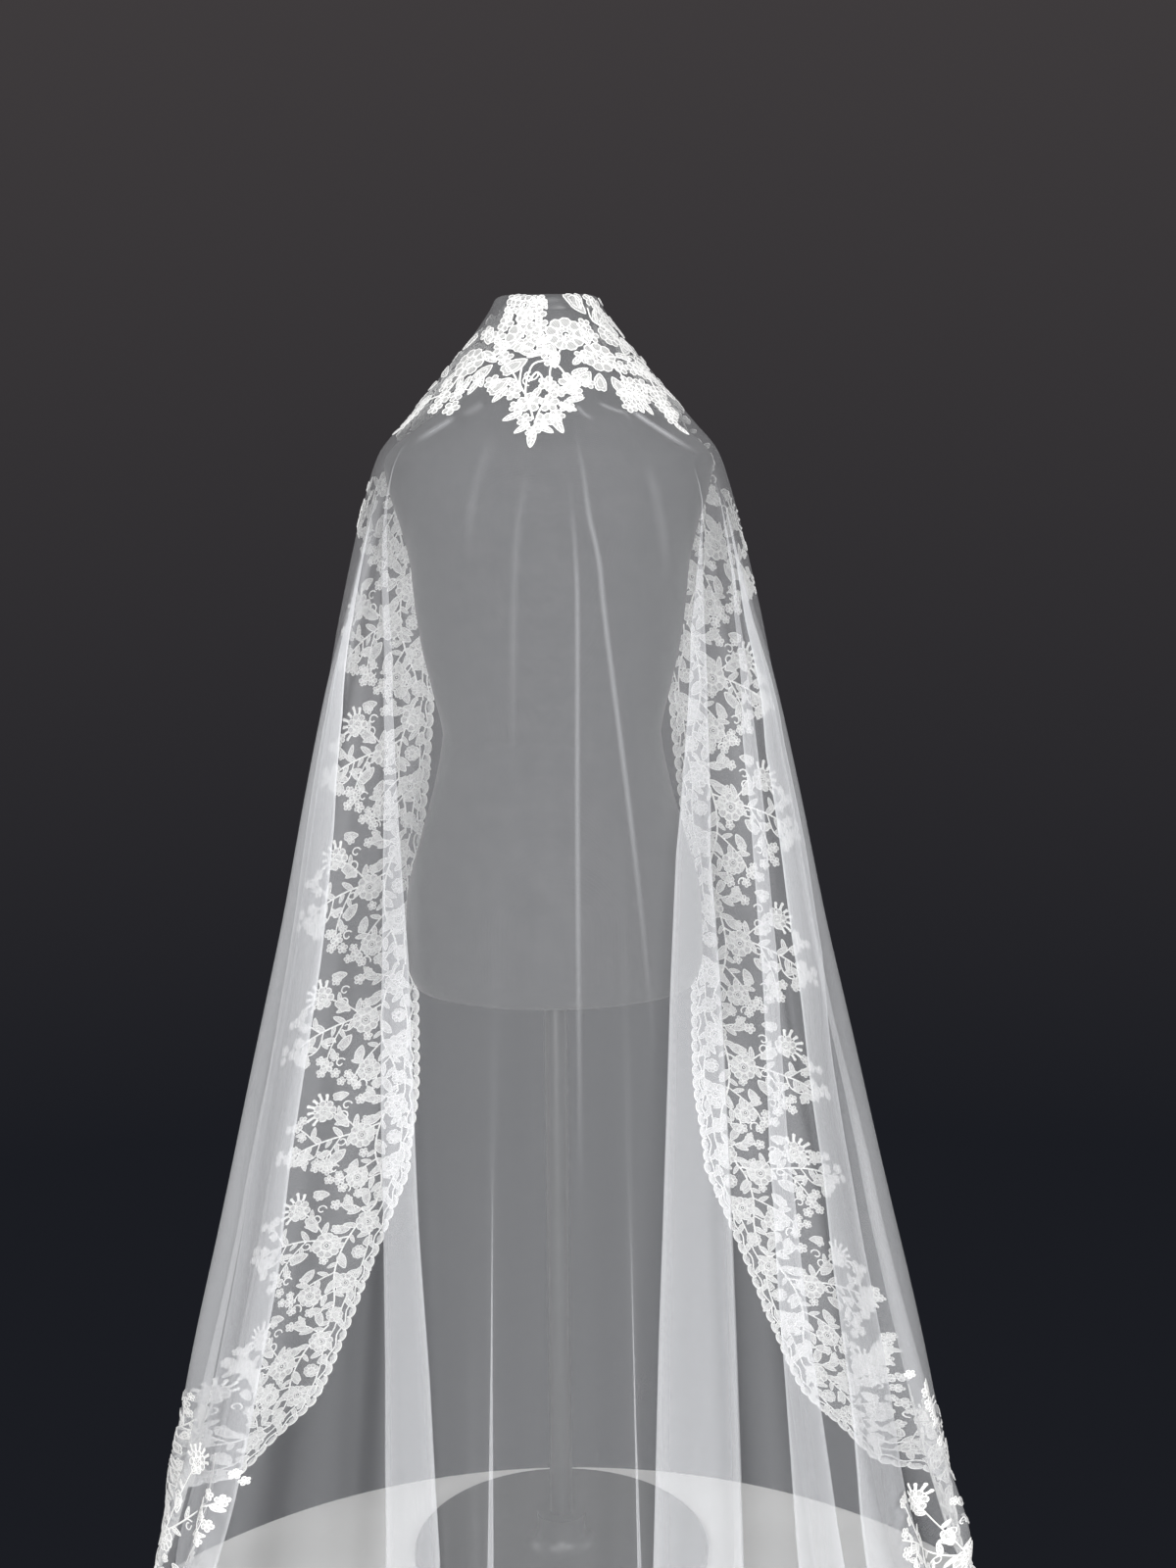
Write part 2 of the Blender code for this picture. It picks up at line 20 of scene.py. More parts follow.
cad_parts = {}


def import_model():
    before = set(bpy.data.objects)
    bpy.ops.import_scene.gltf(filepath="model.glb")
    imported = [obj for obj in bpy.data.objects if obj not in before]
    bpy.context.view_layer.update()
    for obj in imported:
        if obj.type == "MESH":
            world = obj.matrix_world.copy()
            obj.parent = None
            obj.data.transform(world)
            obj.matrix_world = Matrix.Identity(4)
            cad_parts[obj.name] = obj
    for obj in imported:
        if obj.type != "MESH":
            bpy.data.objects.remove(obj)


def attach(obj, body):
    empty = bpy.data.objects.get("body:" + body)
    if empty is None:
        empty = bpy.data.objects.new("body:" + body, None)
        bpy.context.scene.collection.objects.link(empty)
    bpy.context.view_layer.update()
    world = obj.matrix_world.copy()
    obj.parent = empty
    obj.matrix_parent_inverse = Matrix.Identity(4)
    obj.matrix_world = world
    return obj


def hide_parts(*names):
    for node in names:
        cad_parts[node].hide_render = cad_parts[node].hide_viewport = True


Array = np.ndarray
Pair = tuple[Array, Array]
Art = tuple[Array, Array, Array]
Two = tuple[float, float]
Triple = tuple[float, float, float]
Rows = tuple[tuple[float, ...], ...]
Pieces = list[Object]

LOG = logging.getLogger("bridal_veil")
ROOT = "root"
STITCH = "stitch"
GATHERED = "gathered"
MM = 0.001
TINY = 1e-9
PLEAT_START = 0.05
SMOOTH_ANGLE = math.radians(35)

RING_COLUMNS = ("height", "half_width", "back", "front", "power", "edge_x")
RINGS = (
    (1.546, 0, 0, 0, 2, 0), (1.546, 0.044, 0.044, 0.044, 2, 0.036),
    (1.543, 0.056, 0.056, 0.056, 2, 0.046), (1.531, 0.063, 0.065, 0.065, 2, 0.052),
    (1.505, 0.081, 0.077, 0.076, 2, 0.068), (1.47, 0.11, 0.09, 0.087, 2.05, 0.09),
    (1.44, 0.135, 0.1, 0.097, 2.1, 0.11), (1.405, 0.165, 0.11, 0.106, 2.2, 0.132),
    (1.372, 0.192, 0.118, 0.113, 2.3, 0.147), (1.33, 0.207, 0.126, 0.12, 2.35, 0.155),
    (1.27, 0.223, 0.139, 0.13, 2.3, 0.157), (1.18, 0.244, 0.158, 0.139, 2.2, 0.149),
    (1.1, 0.26, 0.175, 0.142, 2.15, 0.143), (1, 0.279, 0.196, 0.145, 2.1, 0.15),
    (0.8, 0.315, 0.239, 0.151, 2, 0.17), (0.58, 0.358, 0.286, 0.16, 2, 0.174),
    (0.45, 0.384, 0.314, 0.165, 2, 0.19), (0.2, 0.438, 0.367, 0.172, 2, 0.197),
    (0, 0.479, 0.41, 0.178, 2, 0.2), (-1, 0.479, 0.41, 0.178, 2, 0.2),
)

# The hem, as place across and height there. Below 0 it is the length that lies on the floor.
HEM = (
    (0, -0.56), (0.19, -0.48), (0.33, -0.385), (0.45, -0.29), (0.55, -0.2), (0.64, -0.105), (0.72, -0.03),
    (0.79, 0.02), (0.875, 0.085), (0.915, 0.13), (0.945, 0.235), (0.968, 0.325), (1, 0.45),
)

# Broad folds: place across, half width there, depth, starting height, sideways lean.
FOLDS = (
    (-0.905, 0.05, 0.012, 1.1, 0), (-0.78, 0.07, 0.03, 1.3, 0.01), (-0.645, 0.062, 0.022, 1.2, 0.008),
    (-0.52, 0.064, 0.036, 1.32, 0.014), (-0.385, 0.062, 0.016, 0.95, 0.004),
    (-0.25, 0.05, 0.026, 1.34, 0.01), (-0.125, 0.06, 0.009, 0.8, 0), (0.03, 0.06, 0.01, 1.15, 0),
    (0.215, 0.064, 0.032, 1.34, -0.012), (0.33, 0.05, 0.015, 0.9, -0.004),
    (0.44, 0.058, 0.036, 1.34, -0.014), (0.53, 0.045, 0.012, 0.8, 0), (0.625, 0.062, 0.034, 1.33, -0.012),
    (0.785, 0.07, 0.03, 1.3, -0.01), (0.905, 0.05, 0.012, 1.1, 0),
)

# Doubled folds, each as rows of height, place across and reach to each side in metres.
PLEATS = (
    (
        (1.3, -0.75, 0.002), (1.2, -0.72, 0.0075), (1.09, -0.64, 0.024), (0.97, -0.62, 0.038),
        (0.81, -0.61, 0.046), (0.665, -0.6, 0.055), (0.48, -0.59, 0.067), (0.25, -0.58, 0.071),
    ),
    (
        (1.36, -0.6, 0.001), (1.268, -0.462, 0.0055), (1.159, -0.341, 0.0069), (1.071, -0.303, 0.0086),
        (0.968, -0.278, 0.0123), (0.836, -0.255, 0.0186), (0.706, -0.243, 0.0223), (0.552, -0.23, 0.0243),
        (0.399, -0.219, 0.0297), (0.205, -0.211, 0.0357),
    ),
    (
        (1.33, 0.42, 0.001), (1.27, 0.319, 0.0032), (1.186, 0.251, 0.0104), (1.091, 0.224, 0.0145),
        (0.948, 0.201, 0.0233), (0.804, 0.202, 0.0325), (0.624, 0.2, 0.0401), (0.444, 0.197, 0.0466),
        (0.197, 0.195, 0.0529),
    ),
    (
        (1.33, 0.7, 0.001), (1.181, 0.558, 0.0063), (1.06, 0.458, 0.0128), (0.938, 0.436, 0.0135),
        (0.816, 0.425, 0.0155), (0.744, 0.41, 0.016), (0.607, 0.387, 0.0187), (0.367, 0.374, 0.0266),
        (0.161, 0.364, 0.0365),
    ),
    (
        (1.31, 0.76, 0.001), (1.18, 0.67, 0.012), (1.05, 0.61, 0.026), (0.92, 0.61, 0.034),
        (0.8, 0.6, 0.038), (0.58, 0.55, 0.036), (0.33, 0.52, 0.05), (0.12, 0.49, 0.06),
    ),
    ((0.9, -0.08, 0.0005), (0.65, -0.09, 0.002), (0.4, -0.095, 0.004), (0.15, -0.1, 0.007)),
    ((0.95, 0.095, 0.0005), (0.7, 0.1, 0.0015), (0.35, 0.105, 0.0035), (0.1, 0.11, 0.006)),
)

# Soft lines of gathered net at the back: strength, width, and points as x and z from the top down.
PULLED = (
    (
        1.1, 0.004,
        (
            (0.021, 1.367), (0.025, 1.311), (0.028, 1.263), (0.029, 1.2), (0.026, 0.95), (0.024, 0.5),
        ),
    ),
    (
        1.2, 0.0042,
        (
            (0.026, 1.421), (0.037, 1.358), (0.043, 1.31), (0.053, 1.262), (0.06, 1.19), (0.088, 0.95),
            (0.11, 0.71),
        ),
    ),
    (1.1, 0.003, ((0.03, 1.428), (0.04, 1.417), (0.052, 1.41))),
    (1.2, 0.003, ((0.052, 1.43), (0.073, 1.421), (0.084, 1.417), (0.093, 1.406))),
    (2.3, 0.0036, ((0.086, 1.424), (0.11, 1.407), (0.141, 1.387), (0.168, 1.371))),
    (0.7, 0.006, ((-0.069, 1.43), (-0.096, 1.415))),
    (1.6, 0.0044, ((-0.1, 1.416), (-0.126, 1.4), (-0.151, 1.386))),
    (0.35, 0.006, ((-0.02, 1.372), (-0.034, 1.3), (-0.04, 1.2), (-0.044, 1))),
    (0.3, 0.008, ((-0.06, 1.4), (-0.082, 1.33), (-0.09, 1.25))),
    (0.35, 0.008, ((0.105, 1.372), (0.122, 1.3), (0.128, 1.22))),
)


class Thread(Enum):
    """The two finishes of lace work: raised cord, and the stitched net inside a petal or leaf."""

    CORD = 0
    FILL = 1


class Motif(Enum):
    """The kinds of flat lace work."""

    LEAF = "leaf"
    PETAL = "petal"
    BLOSSOM = "blossom"
    ROSE = "rose"
    FAN = "fan"
    CURL = "curl"
    SCALLOP = "scallop"


def soft_curve(places: Array, knots: Array, values: Array) -> Array:
    """Reads a short table as a smooth curve that never overshoots its rows.

    Args:
        places: Where to read.
        knots: The table's first column.
        values: The table's second column.

    Returns:
        The value at each place.
    """
    knots = np.asarray(knots, float)
    values = np.asarray(values, float)
    steps = np.diff(values) / np.diff(knots)
    same_way = steps[1:] * steps[:-1] > 0
    total = np.where(same_way, steps[1:] + steps[:-1], 1.0)
    inner = np.where(same_way, 2 * steps[1:] * steps[:-1] / total, 0.0)
    slopes = np.concatenate([steps[:1], inner, steps[-1:]])
    at = np.clip(places, knots[0], knots[-1])
    row = np.clip(np.searchsorted(knots, at, side="right") - 1, 0, len(knots) - 2)
    width = knots[row + 1] - knots[row]
    x = (at - knots[row]) / width
    start = (1 + 2 * x) * (1 - x) ** 2 * values[row] + x * (1 - x) ** 2 * width * slopes[row]
    end = x**2 * (3 - 2 * x) * values[row + 1] - x**2 * (1 - x) * width * slopes[row + 1]
    return start + end


def read_table(table: Array, rows: Array, columns: Array) -> Array:
    """Reads a table between its rows and columns.

    Args:
        table: Values on a regular grid.
        rows: Fractional row numbers.
        columns: Fractional column numbers.

    Returns:
        The value at each pair.
    """
    rows = np.clip(rows, 0, table.shape[0] - 1.001)
    columns = np.clip(columns, 0, table.shape[1] - 1.001)
    r, c = rows.astype(int), columns.astype(int)
    a, b = rows - r, columns - c
    low = table[r, c] * (1 - b) + table[r, c + 1] * b
    high = table[r + 1, c] * (1 - b) + table[r + 1, c + 1] * b
    return low * (1 - a) + high * a


def smooth_step(value: Array) -> Array:
    """A soft change from 0 to 1 as value goes from 0 to 1."""
    x = np.clip(value, 0, 1)
    return x * x * (3 - 2 * x)


def units(vectors: Array) -> Array:
    """The vectors at length one."""
    return vectors / np.maximum(np.linalg.norm(vectors, axis=-1, keepdims=True), TINY)


def run_along(points: Array) -> Array:
    """The way along a line to each of its points."""
    return np.concatenate([[0.0], np.cumsum(np.linalg.norm(np.diff(points, axis=0), axis=1))])


def smooth_line(points: Array, count: int) -> Array:
    """A smooth line through a few points.

    Args:
        points: The points, as rows.
        count: How many points the line gets.

    Returns:
        The line's points, as rows.
    """
    points = np.asarray(points, float)
    knots = run_along(points)
    padded = np.concatenate([2 * points[:1] - points[1:2], points, 2 * points[-1:] - points[-2:-1]])
    at = np.linspace(0, knots[-1], count)
    row = np.clip(np.searchsorted(knots, at, side="right") - 1, 0, len(knots) - 2)
    x = ((at - knots[row]) / (knots[row + 1] - knots[row]))[:, None]
    a, b, c, d = (padded[row + k] for k in range(4))
    return 0.5 * (2 * b + (c - a) * x + (2 * a - 5 * b + 4 * c - d) * x**2 + (3 * b - a - 3 * c + d) * x**3)


def point_grid(rows: int, count: int, closed: bool = False, first: int = 0) -> Array:
    """Numbers the points of a grid.

    Args:
        rows: How many rows it has.
        count: How many points a row has.
        closed: Whether each row ends with its first point again.
        first: The number of the first point.

    Returns:
        The point numbers, row by row.
    """
    grid = first + np.arange(rows * count).reshape(rows, count)
    return np.concatenate([grid, grid[:, :1]], axis=1) if closed else grid


def grid_faces(grid: Array) -> Array:
    """Two triangles for each cell of one grid of point numbers, or of several."""
    a, b, c, d = grid[..., :-1, :-1], grid[..., 1:, :-1], grid[..., 1:, 1:], grid[..., :-1, 1:]
    return np.concatenate([np.stack(corners, -1).reshape(-1, 3) for corners in ((a, b, c), (a, c, d))])


def at_height(line: Array, height: float) -> Array:
    """Flat points lifted to one height."""
    return np.hstack([line, np.full((len(line), 1), height)])


@dataclass(frozen=True)
class Pleat:
    """A fold where the cloth doubles back on itself.

    Attributes:
        rows: Height, place across and reach at a few levels, from the top down. The reach is how
            far the doubled cloth goes to each side of the fold's middle, in metres.
    """

    rows: Rows

    def read(self, height: Array) -> Pair:
        """The place across and the reach at each height; the fold runs out above its first row.

        Args:
            height: The heights.

        Returns:
            The place across and the reach at each.
        """
        table = np.asarray(self.rows, float)[::-1]
        place = np.interp(height, table[:, 0], table[:, 1])
        reach = np.interp(height, table[:, 0], table[:, 2])
        return place, reach * smooth_step((table[-1, 0] + PLEAT_START - height) / PLEAT_START)


@dataclass(frozen=True)
class Crease:
    """A soft pulled line of gathered net at the back, which lies on the cloth as a narrow ribbon.

    Attributes:
        strength: How dense the net is along its middle.
        width: How wide it is.
        line: Its points, as x and z from the top down.
    """

    strength: float
    width: float
    line: Rows
    steps: int = 40
    shares: tuple[float, ...] = (-1.0, -0.5, 0.0, 0.5, 1.0)
    start_fade: float = 0.2
    end_fade: float = 0.5

    def ribbon(self) -> Art:
        """Works out the ribbon.

        Returns:
            Points as x and z, triangles, and how dense the net is at each point.
        """
        middle = smooth_line(np.asarray(self.line), self.steps)
        way = units(np.gradient(middle, axis=0))
        beside = np.stack([-way[:, 1], way[:, 0]], -1) * self.width
        seen = np.stack([middle + share * beside for share in self.shares], axis=1)
        along = np.linspace(0, 1, self.steps)
        fade = smooth_step(along / self.start_fade) * smooth_step((1 - along) / self.end_fade)
        across = np.cos(np.asarray(self.shares) * math.pi / 2) ** 2
        density = self.strength * fade[:, None] * across[None, :]
        return seen.reshape(-1, 2), grid_faces(point_grid(*seen.shape[:2])), density.ravel()


@dataclass
class Drape:
    """Where the hanging cloth lies: level rings, broad folds and narrow pleats."""

    border_zone: float = 0.20
    crown_border_share: float = 0.42
    panel_half_width: float = 0.155
    panel_most_share: float = 0.70
    panel_place: float = 0.20
    border_place: float = 26 / 30
    front_share: float = 0.60
    collar: float = 0.163
    landing_radius: float = 0.030
    train_spread: float = 0.45
    train_fold_fade: float = 0.45
    train_fold_left: float = 0.40
    landing_settle: float = 0.35
    free_height: float = 0.5
    fold_growth: float = 0.95
    fold_most: float = 1.25
    fold_ease: float = 1.2
    lift: float = 0.0006
    lowest: float = 0.0003
    side_limit: float = 0.97
    pleat_base: float = 0.016
    pleat_rise: float = 0.0065
    pleat_settle: float = 0.05
    pleat_full: float = 0.012
    pleat_margin: float = 0.004
    hem_clear: float = 0.09
    hem_open: float = 0.11
    hem_spread: float = 0.93
    hem_step: float = 0.01
    pleats: tuple[Pleat, ...] = tuple(Pleat(rows) for rows in PLEATS)
    fall_samples: int = 900
    drop_samples: int = 4000
    angle_samples: int = 241
    front_samples: int = 400
    place_samples: int = 301
    arc_samples: int = 700
    place_most: float = 1.12
    probe_place: float = 0.002
    probe_fall: float = 0.003
    tables: dict[str, Array] = field(default_factory=dict)

    def __post_init__(self) -> None:
        """Works out the tables that every later reading uses."""
        rings = np.array(RINGS)
        knots = np.concatenate([[0.0], np.cumsum(np.hypot(np.diff(rings[:, 0]), np.diff(rings[:, 1])))])
        self.fall_axis = np.linspace(0.0, knots[-1], self.fall_samples)
        for k, name in enumerate(RING_COLUMNS):
            self.tables[name] = soft_curve(self.fall_axis, knots, rings[:, k])
        self.drop = np.linspace(knots[2], knots[-1], self.drop_samples)
        self.drop_heights = soft_curve(self.drop, knots, rings[:, 0])
        ring = {name: self.tables[name][:, None] for name in RING_COLUMNS}
        angles = np.linspace(0, math.pi, self.angle_samples)
        x, y = self.oval(angles[None, :], ring)
        arcs = np.cumsum(np.hypot(np.diff(x, axis=1), np.diff(y, axis=1)), axis=1)
        arcs = np.concatenate([np.zeros((len(arcs), 1)), arcs], axis=1)
        ratio = np.clip(self.tables["edge_x"] / np.maximum(self.tables["half_width"], TINY), 0, 1)
        edges = math.pi - np.arcsin(ratio ** (self.tables["power"] / 2))
        edge_arcs = np.array([np.interp(edges[k], angles, arcs[k]) for k in range(len(arcs))])
        places = np.linspace(0, self.place_most, self.place_samples)
        self.arc_of_place = self.place_arcs(places[None, :], edge_arcs[:, None])
        self.arc_most = float(arcs[:, -1].max())
        arc_axis = np.linspace(0, self.arc_most, self.arc_samples)
        self.angle_of_arc = np.array([np.interp(arc_axis, row, angles) for row in arcs])
        self.arc_of_angle = arcs
        self.place_of_arc = np.array([np.interp(arc_axis, row, places) for row in self.arc_of_place])
        collar_row = int(round(self.collar / knots[-1] * (self.fall_samples - 1)))
        fine = np.linspace(1, self.place_most, self.front_samples)
        reach = self.place_arcs(fine, edge_arcs[collar_row])
        self.front_place = float(np.interp(arcs[collar_row, -1], reach, fine))

    @staticmethod
    def oval(angle: Array, ring: dict[str, Array]) -> Pair:
        """A point of a ring at this angle: 0 at the middle of the back, pi at the front.

        Args:
            angle: Angles: 0 at the middle of the back, pi at the front.
            ring: The ring's sizes by name.

        Returns:
            The x and the y of each point.
        """
        across = np.abs(np.sin(angle)) ** (2 / ring["power"]) * np.sign(np.sin(angle))
        along = np.abs(np.cos(angle)) ** (2 / ring["power"]) * np.sign(np.cos(angle))
        depth = np.where(along > 0, ring["back"], ring["front"])
        return ring["half_width"] * across, -depth * along

    def place_arcs(self, place: Array, edge_arc: Array) -> Array:
        """How far round the ring each place hangs: panel, then folds, then lace border.

        Args:
            place: Places across.
            edge_arc: The way round to the free edge.

        Returns:
            The way round to each place.
        """
        border = np.minimum(self.border_zone, self.crown_border_share * edge_arc)
        border_arc = edge_arc - border
        panel_arc = np.minimum(self.panel_half_width, self.panel_most_share * border_arc)
        in_panel = panel_arc * place / self.panel_place
        share = (place - self.panel_place) / (self.border_place - self.panel_place)
        in_folds = panel_arc + (border_arc - panel_arc) * share
        in_border = edge_arc - border * (1 - place) / (1 - self.border_place)
        outer = np.where(place < self.border_place, in_folds, in_border)
        return np.where(place < self.panel_place, in_panel, outer)

    def fall_to(self, height: Array) -> Array:
        """The fall at which the cloth reaches this height below the crown's flat top."""
        return np.interp(-np.asarray(height, float), -self.drop_heights, self.drop)

    def read(self, name: str, fall: Array) -> Array:
        """A ring's size at this fall."""
        return np.interp(fall, self.fall_axis, self.tables[name])

    def held_row(self, fall: Array) -> Array:
        """The row of the tables that sets the cloth's spread; above the collar it is the collar's."""
        return np.maximum(fall, self.collar) / self.fall_axis[-1] * (self.fall_samples - 1)

    def place_at(self, angle: Array, fall: Array) -> Array:
        """The place across of the cloth at this angle round the ring.

        Args:
            angle: Angles round the ring.
            fall: Falls from the crown.

        Returns:
            The places.
        """
        row = self.held_row(fall)
        arc = read_table(self.arc_of_angle, row, np.abs(angle) / math.pi * (self.angle_samples - 1))
        place = read_table(self.place_of_arc, row, arc / self.arc_most * (self.arc_samples - 1))
        return place * np.sign(angle)

    def back_spot(self, seen: Array) -> Pair:
        """Angle and fall of points at the back that are named by x and height.

        Args:
            seen: Points, as x and height.

        Returns:
            The angles and the falls.
        """
        fall = self.fall_to(seen[..., 1])
        share = np.clip(np.abs(seen[..., 0]) / self.read("half_width", fall), 0, self.side_limit)
        angle = np.arcsin(share ** (self.read("power", fall) / 2))
        return angle * np.sign(seen[..., 0]), fall

    def hem_height(self, place: Array) -> Array:
        """The hem's height at this place."""
        return soft_curve(np.minimum(np.abs(place), 1.0), *zip(*HEM))

    def broad_folds(self, place: Array, height: Array) -> Pair:
        """How far the broad folds push the cloth outward, and how far they lean sideways.

        Args:
            place: Places across.
            height: The cloth's height there.

        Returns:
            The push and the lean at each point.
        """
        out = np.zeros_like(place)
        lean = np.zeros_like(place)
        for centre, half_width, depth, starts, sideways in FOLDS:
            bump = np.cos(np.clip((place - centre) / half_width, -1, 1) * math.pi / 2) ** 2
            growth = np.clip((starts - height) / self.fold_growth, 0, self.fold_most) ** self.fold_ease
            out += depth * bump * growth
            lean += sideways * bump * growth
        return out, lean

    def turns(self, pleat: Pleat, place: Array, height: Array) -> Pair:
        """How far each point is through a pleat, from 0 to 1 across its base, and the reach there.

        Args:
            pleat: The pleat.
            place: Places across.
            height: The cloth's height there.

        Returns:
            The share of the way through, and the reach.
        """
        centre, reach = pleat.read(height)
        step = self.hem_step
        rise = self.hem_height(centre + step) - self.hem_height(centre - step)
        rise = rise / (2 * step * self.hem_spread)
        clear = self.hem_clear * np.sqrt(1 + rise**2)
        opened = smooth_step((height - self.hem_height(centre) - clear) / self.hem_open)
        return np.sign(centre) * (place - centre) / self.pleat_base + 0.5, reach * opened

    def narrow_pleats(self, place: Array, height: Array) -> Pair:
        """How far the pleats carry the cloth round the ring, and how far they lift it.

        Args:
            place: Places across.
            height: The cloth's height there.

        Returns:
            The way round and the lift at each point.
        """
        shift = np.zeros_like(place)
        out = np.zeros_like(place)
        for pleat in self.pleats:
            turn, reach = self.turns(pleat, place, height)
            side = math.copysign(1.0, pleat.rows[-1][1])
            inside = (turn > 0) & (turn < 1)
            shift += side * reach * np.sin(2 * math.pi * turn) * inside
            settled = 1 - smooth_step((turn - 1) * self.pleat_base / self.pleat_settle)
            rise = np.clip(turn, 0, 1) * settled * self.pleat_rise
            out += rise * np.minimum(1.0, reach / self.pleat_full)
        return shift, out

    def plain_arc(self, place: Array, fall: Array) -> Array:
        """How far round the ring each point would hang with no pleats."""
        column = np.abs(place) / self.place_most * (self.place_samples - 1)
        return read_table(self.arc_of_place, self.held_row(fall), column) * np.sign(place)

    def across(self, place: Array, fall: Array) -> Array:
        """How far round the ring each point hangs, in metres from the middle of the back."""
        return self.plain_arc(place, fall) + self.narrow_pleats(place, self.read("height", fall))[0]

    def points(self, place: Array, fall: Array, above: float | Array = 0.0, pleated: bool = True) -> Array:
        """Points of the cloth.

        Args:
            place: Places across.
            fall: Falls from the crown.
            above: How far outside the cloth.
            pleated: Whether the folds and pleats are counted.

        Returns:
            The points, in a last axis of three.
        """
        place = np.asarray(place, float)
        fall = np.asarray(fall, float)
        height = self.read("height", fall)
        arc = self.plain_arc(place, fall)
        push = np.zeros_like(arc)
        lean = np.zeros_like(arc)
        if pleated:
            shift, raised = self.narrow_pleats(place, height)
            push, lean = self.broad_folds(place, height)
            arc = arc + shift
            push = push + raised
        column = np.abs(arc) / self.arc_most * (self.arc_samples - 1)
        angle = read_table(self.angle_of_arc, self.held_row(fall), column) * np.sign(arc)
        ring = {name: self.read(name, fall) for name in RING_COLUMNS}
        x, y = self.oval(angle, ring)
        depth = np.where(np.cos(angle) > 0, ring["back"], ring["front"])
        outward = units(np.stack([np.sin(angle) * depth, -np.cos(angle) * ring["half_width"]], -1))
        out_x, out_y = outward[..., 0], outward[..., 1]
        free = height > self.free_height
        radius = self.landing_radius
        hanging = 1 / (1 + np.exp(-height / radius))
        level = np.where(free, height, radius * np.logaddexp(0, height / radius))
        run = np.where(free, 0.0, radius * np.logaddexp(0, -height / radius))
        share = self.train_spread
        spread = units(np.stack([out_x * share, out_y * share - (1 - share)], -1))
        along_floor = np.exp(np.minimum(height, 0) / self.train_fold_fade)
        push = push * (self.train_fold_left + (1 - self.train_fold_left) * along_floor)
        push = push * (1 - self.landing_settle * (1 - hanging))
        lean = lean * hanging
        across = push * hanging
        up = push * np.sqrt(np.clip(1 - hanging**2, 0, 1)) * ~free
        x = x + out_x * across - out_y * lean + spread[..., 0] * run
        y = y + out_y * across + out_x * lean + spread[..., 1] * run
        base = np.stack([x, y, level + up + self.lift], -1)
        if np.any(above):
            base = base + self.outward(place, fall) * np.asarray(above)[..., None]
        base[..., 2] = np.maximum(base[..., 2], self.lowest)
        return base

    def slopes(self, place: Array, fall: Array, pleated: bool) -> Pair:
        """How a point moves for each unit of place, and for each metre of fall.

        Args:
            place: Places across.
            fall: Falls from the crown.
            pleated: Whether the folds and pleats are counted.

        Returns:
            The two slopes.
        """
        step_place, step_fall = self.probe_place, self.probe_fall
        fall = np.maximum(fall, 2 * step_fall)
        by_place = self.points(place + step_place, fall, 0.0, pleated)
        by_place = (by_place - self.points(place - step_place, fall, 0.0, pleated)) / (2 * step_place)
        by_fall = self.points(place, fall + step_fall, 0.0, pleated)
        by_fall = (by_fall - self.points(place, fall - step_fall, 0.0, pleated)) / (2 * step_fall)
        return by_place, by_fall

    def outward(self, place: Array, fall: Array, pleated: bool = True) -> Array:
        """The outward direction of the cloth at each point."""
        by_place, by_fall = self.slopes(place, fall, pleated)
        return units(np.cross(by_fall, by_place))

    def front_reach(self, place: Array) -> Array:
        """How much of the crown's fall the cloth has at this place, less across the front."""
        beyond = np.clip((np.abs(place) - 1) / (self.front_place - 1), 0, 1)
        return self.front_share + (1 - self.front_share) * (1 - beyond) ** 2


def add_object(name: str, data: bpy.types.ID) -> Object:
    """Puts a new object with this data into the scene."""
    made = bpy.data.objects.new(name, data)
    bpy.context.scene.collection.objects.link(made)
    return made


def mesh_piece(
    name: str,
    points: Array,
    faces: Array,
    finishes: list[Material],
    kinds: Array | None = None,
    flat: Array | None = None,
) -> Object:
    """Makes one piece from points and faces, and lets it ride on the body.

    Args:
        name: The piece's name.
        points: Points as rows.
        faces: Corner numbers as rows, all with as many corners.
        finishes: The piece's materials.
        kinds: Which of them each face has, or None for the first.
        flat: Where each point lies in the flat work, in metres, or None.

    Returns:
        The piece.
    """
    mesh = bpy.data.meshes.new(name)
    count, corners = faces.shape
    mesh.vertices.add(len(points))
    mesh.vertices.foreach_set("co", points.astype(np.float32).ravel())
    mesh.loops.add(count * corners)
    mesh.loops.foreach_set("vertex_index", faces.astype(np.int32).ravel())
    mesh.polygons.add(count)
    mesh.polygons.foreach_set("loop_start", np.arange(0, count * corners, corners, dtype=np.int32))
    for finish in finishes:
        mesh.materials.append(finish)
    if kinds is not None:
        mesh.polygons.foreach_set("material_index", kinds.astype(np.int32))
    mesh.update(calc_edges=True)
    if flat is not None:
        layer = mesh.uv_layers.new(name=STITCH)
        layer.data.foreach_set("uv", flat[faces.ravel()].astype(np.float32).ravel())
    mesh.shade_smooth()
    piece = add_object(name, mesh)
    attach(piece, ROOT)
    return piece


class NodeBuilder:
    """Adds nodes to one tree and links them."""

    def __init__(self, tree: NodeTree) -> None:
        """Works in this tree."""
        self.tree = tree

    def fill(self, node: Node, settings: dict) -> Node:
        """Sets up a node.

        Args:
            node: The node.
            settings: What each socket or property gets: a value, or another node's output.

        Returns:
            The node.
        """
        for key, value in settings.items():
            if isinstance(value, NodeSocket):
                self.tree.links.new(value, node.inputs[key])
            elif isinstance(key, int) or key in node.inputs:
                node.inputs[key].default_value = value
            else:
                setattr(node, key, value)
        return node

    def node(self, kind: str, settings: dict) -> Node:
        """Adds a node of this kind with these settings."""
        return self.fill(self.tree.nodes.new(kind), settings)

    def blend(self, mask: NodeSocket, low: tuple, high: tuple) -> NodeSocket:
        """A colour that goes from low to high as the mask goes from 0 to 1."""
        colours = {"data_type": "RGBA", "A": (*low, 1.0), "B": (*high, 1.0), "Factor": mask}
        return self.node("ShaderNodeMix", colours).outputs["Result"]


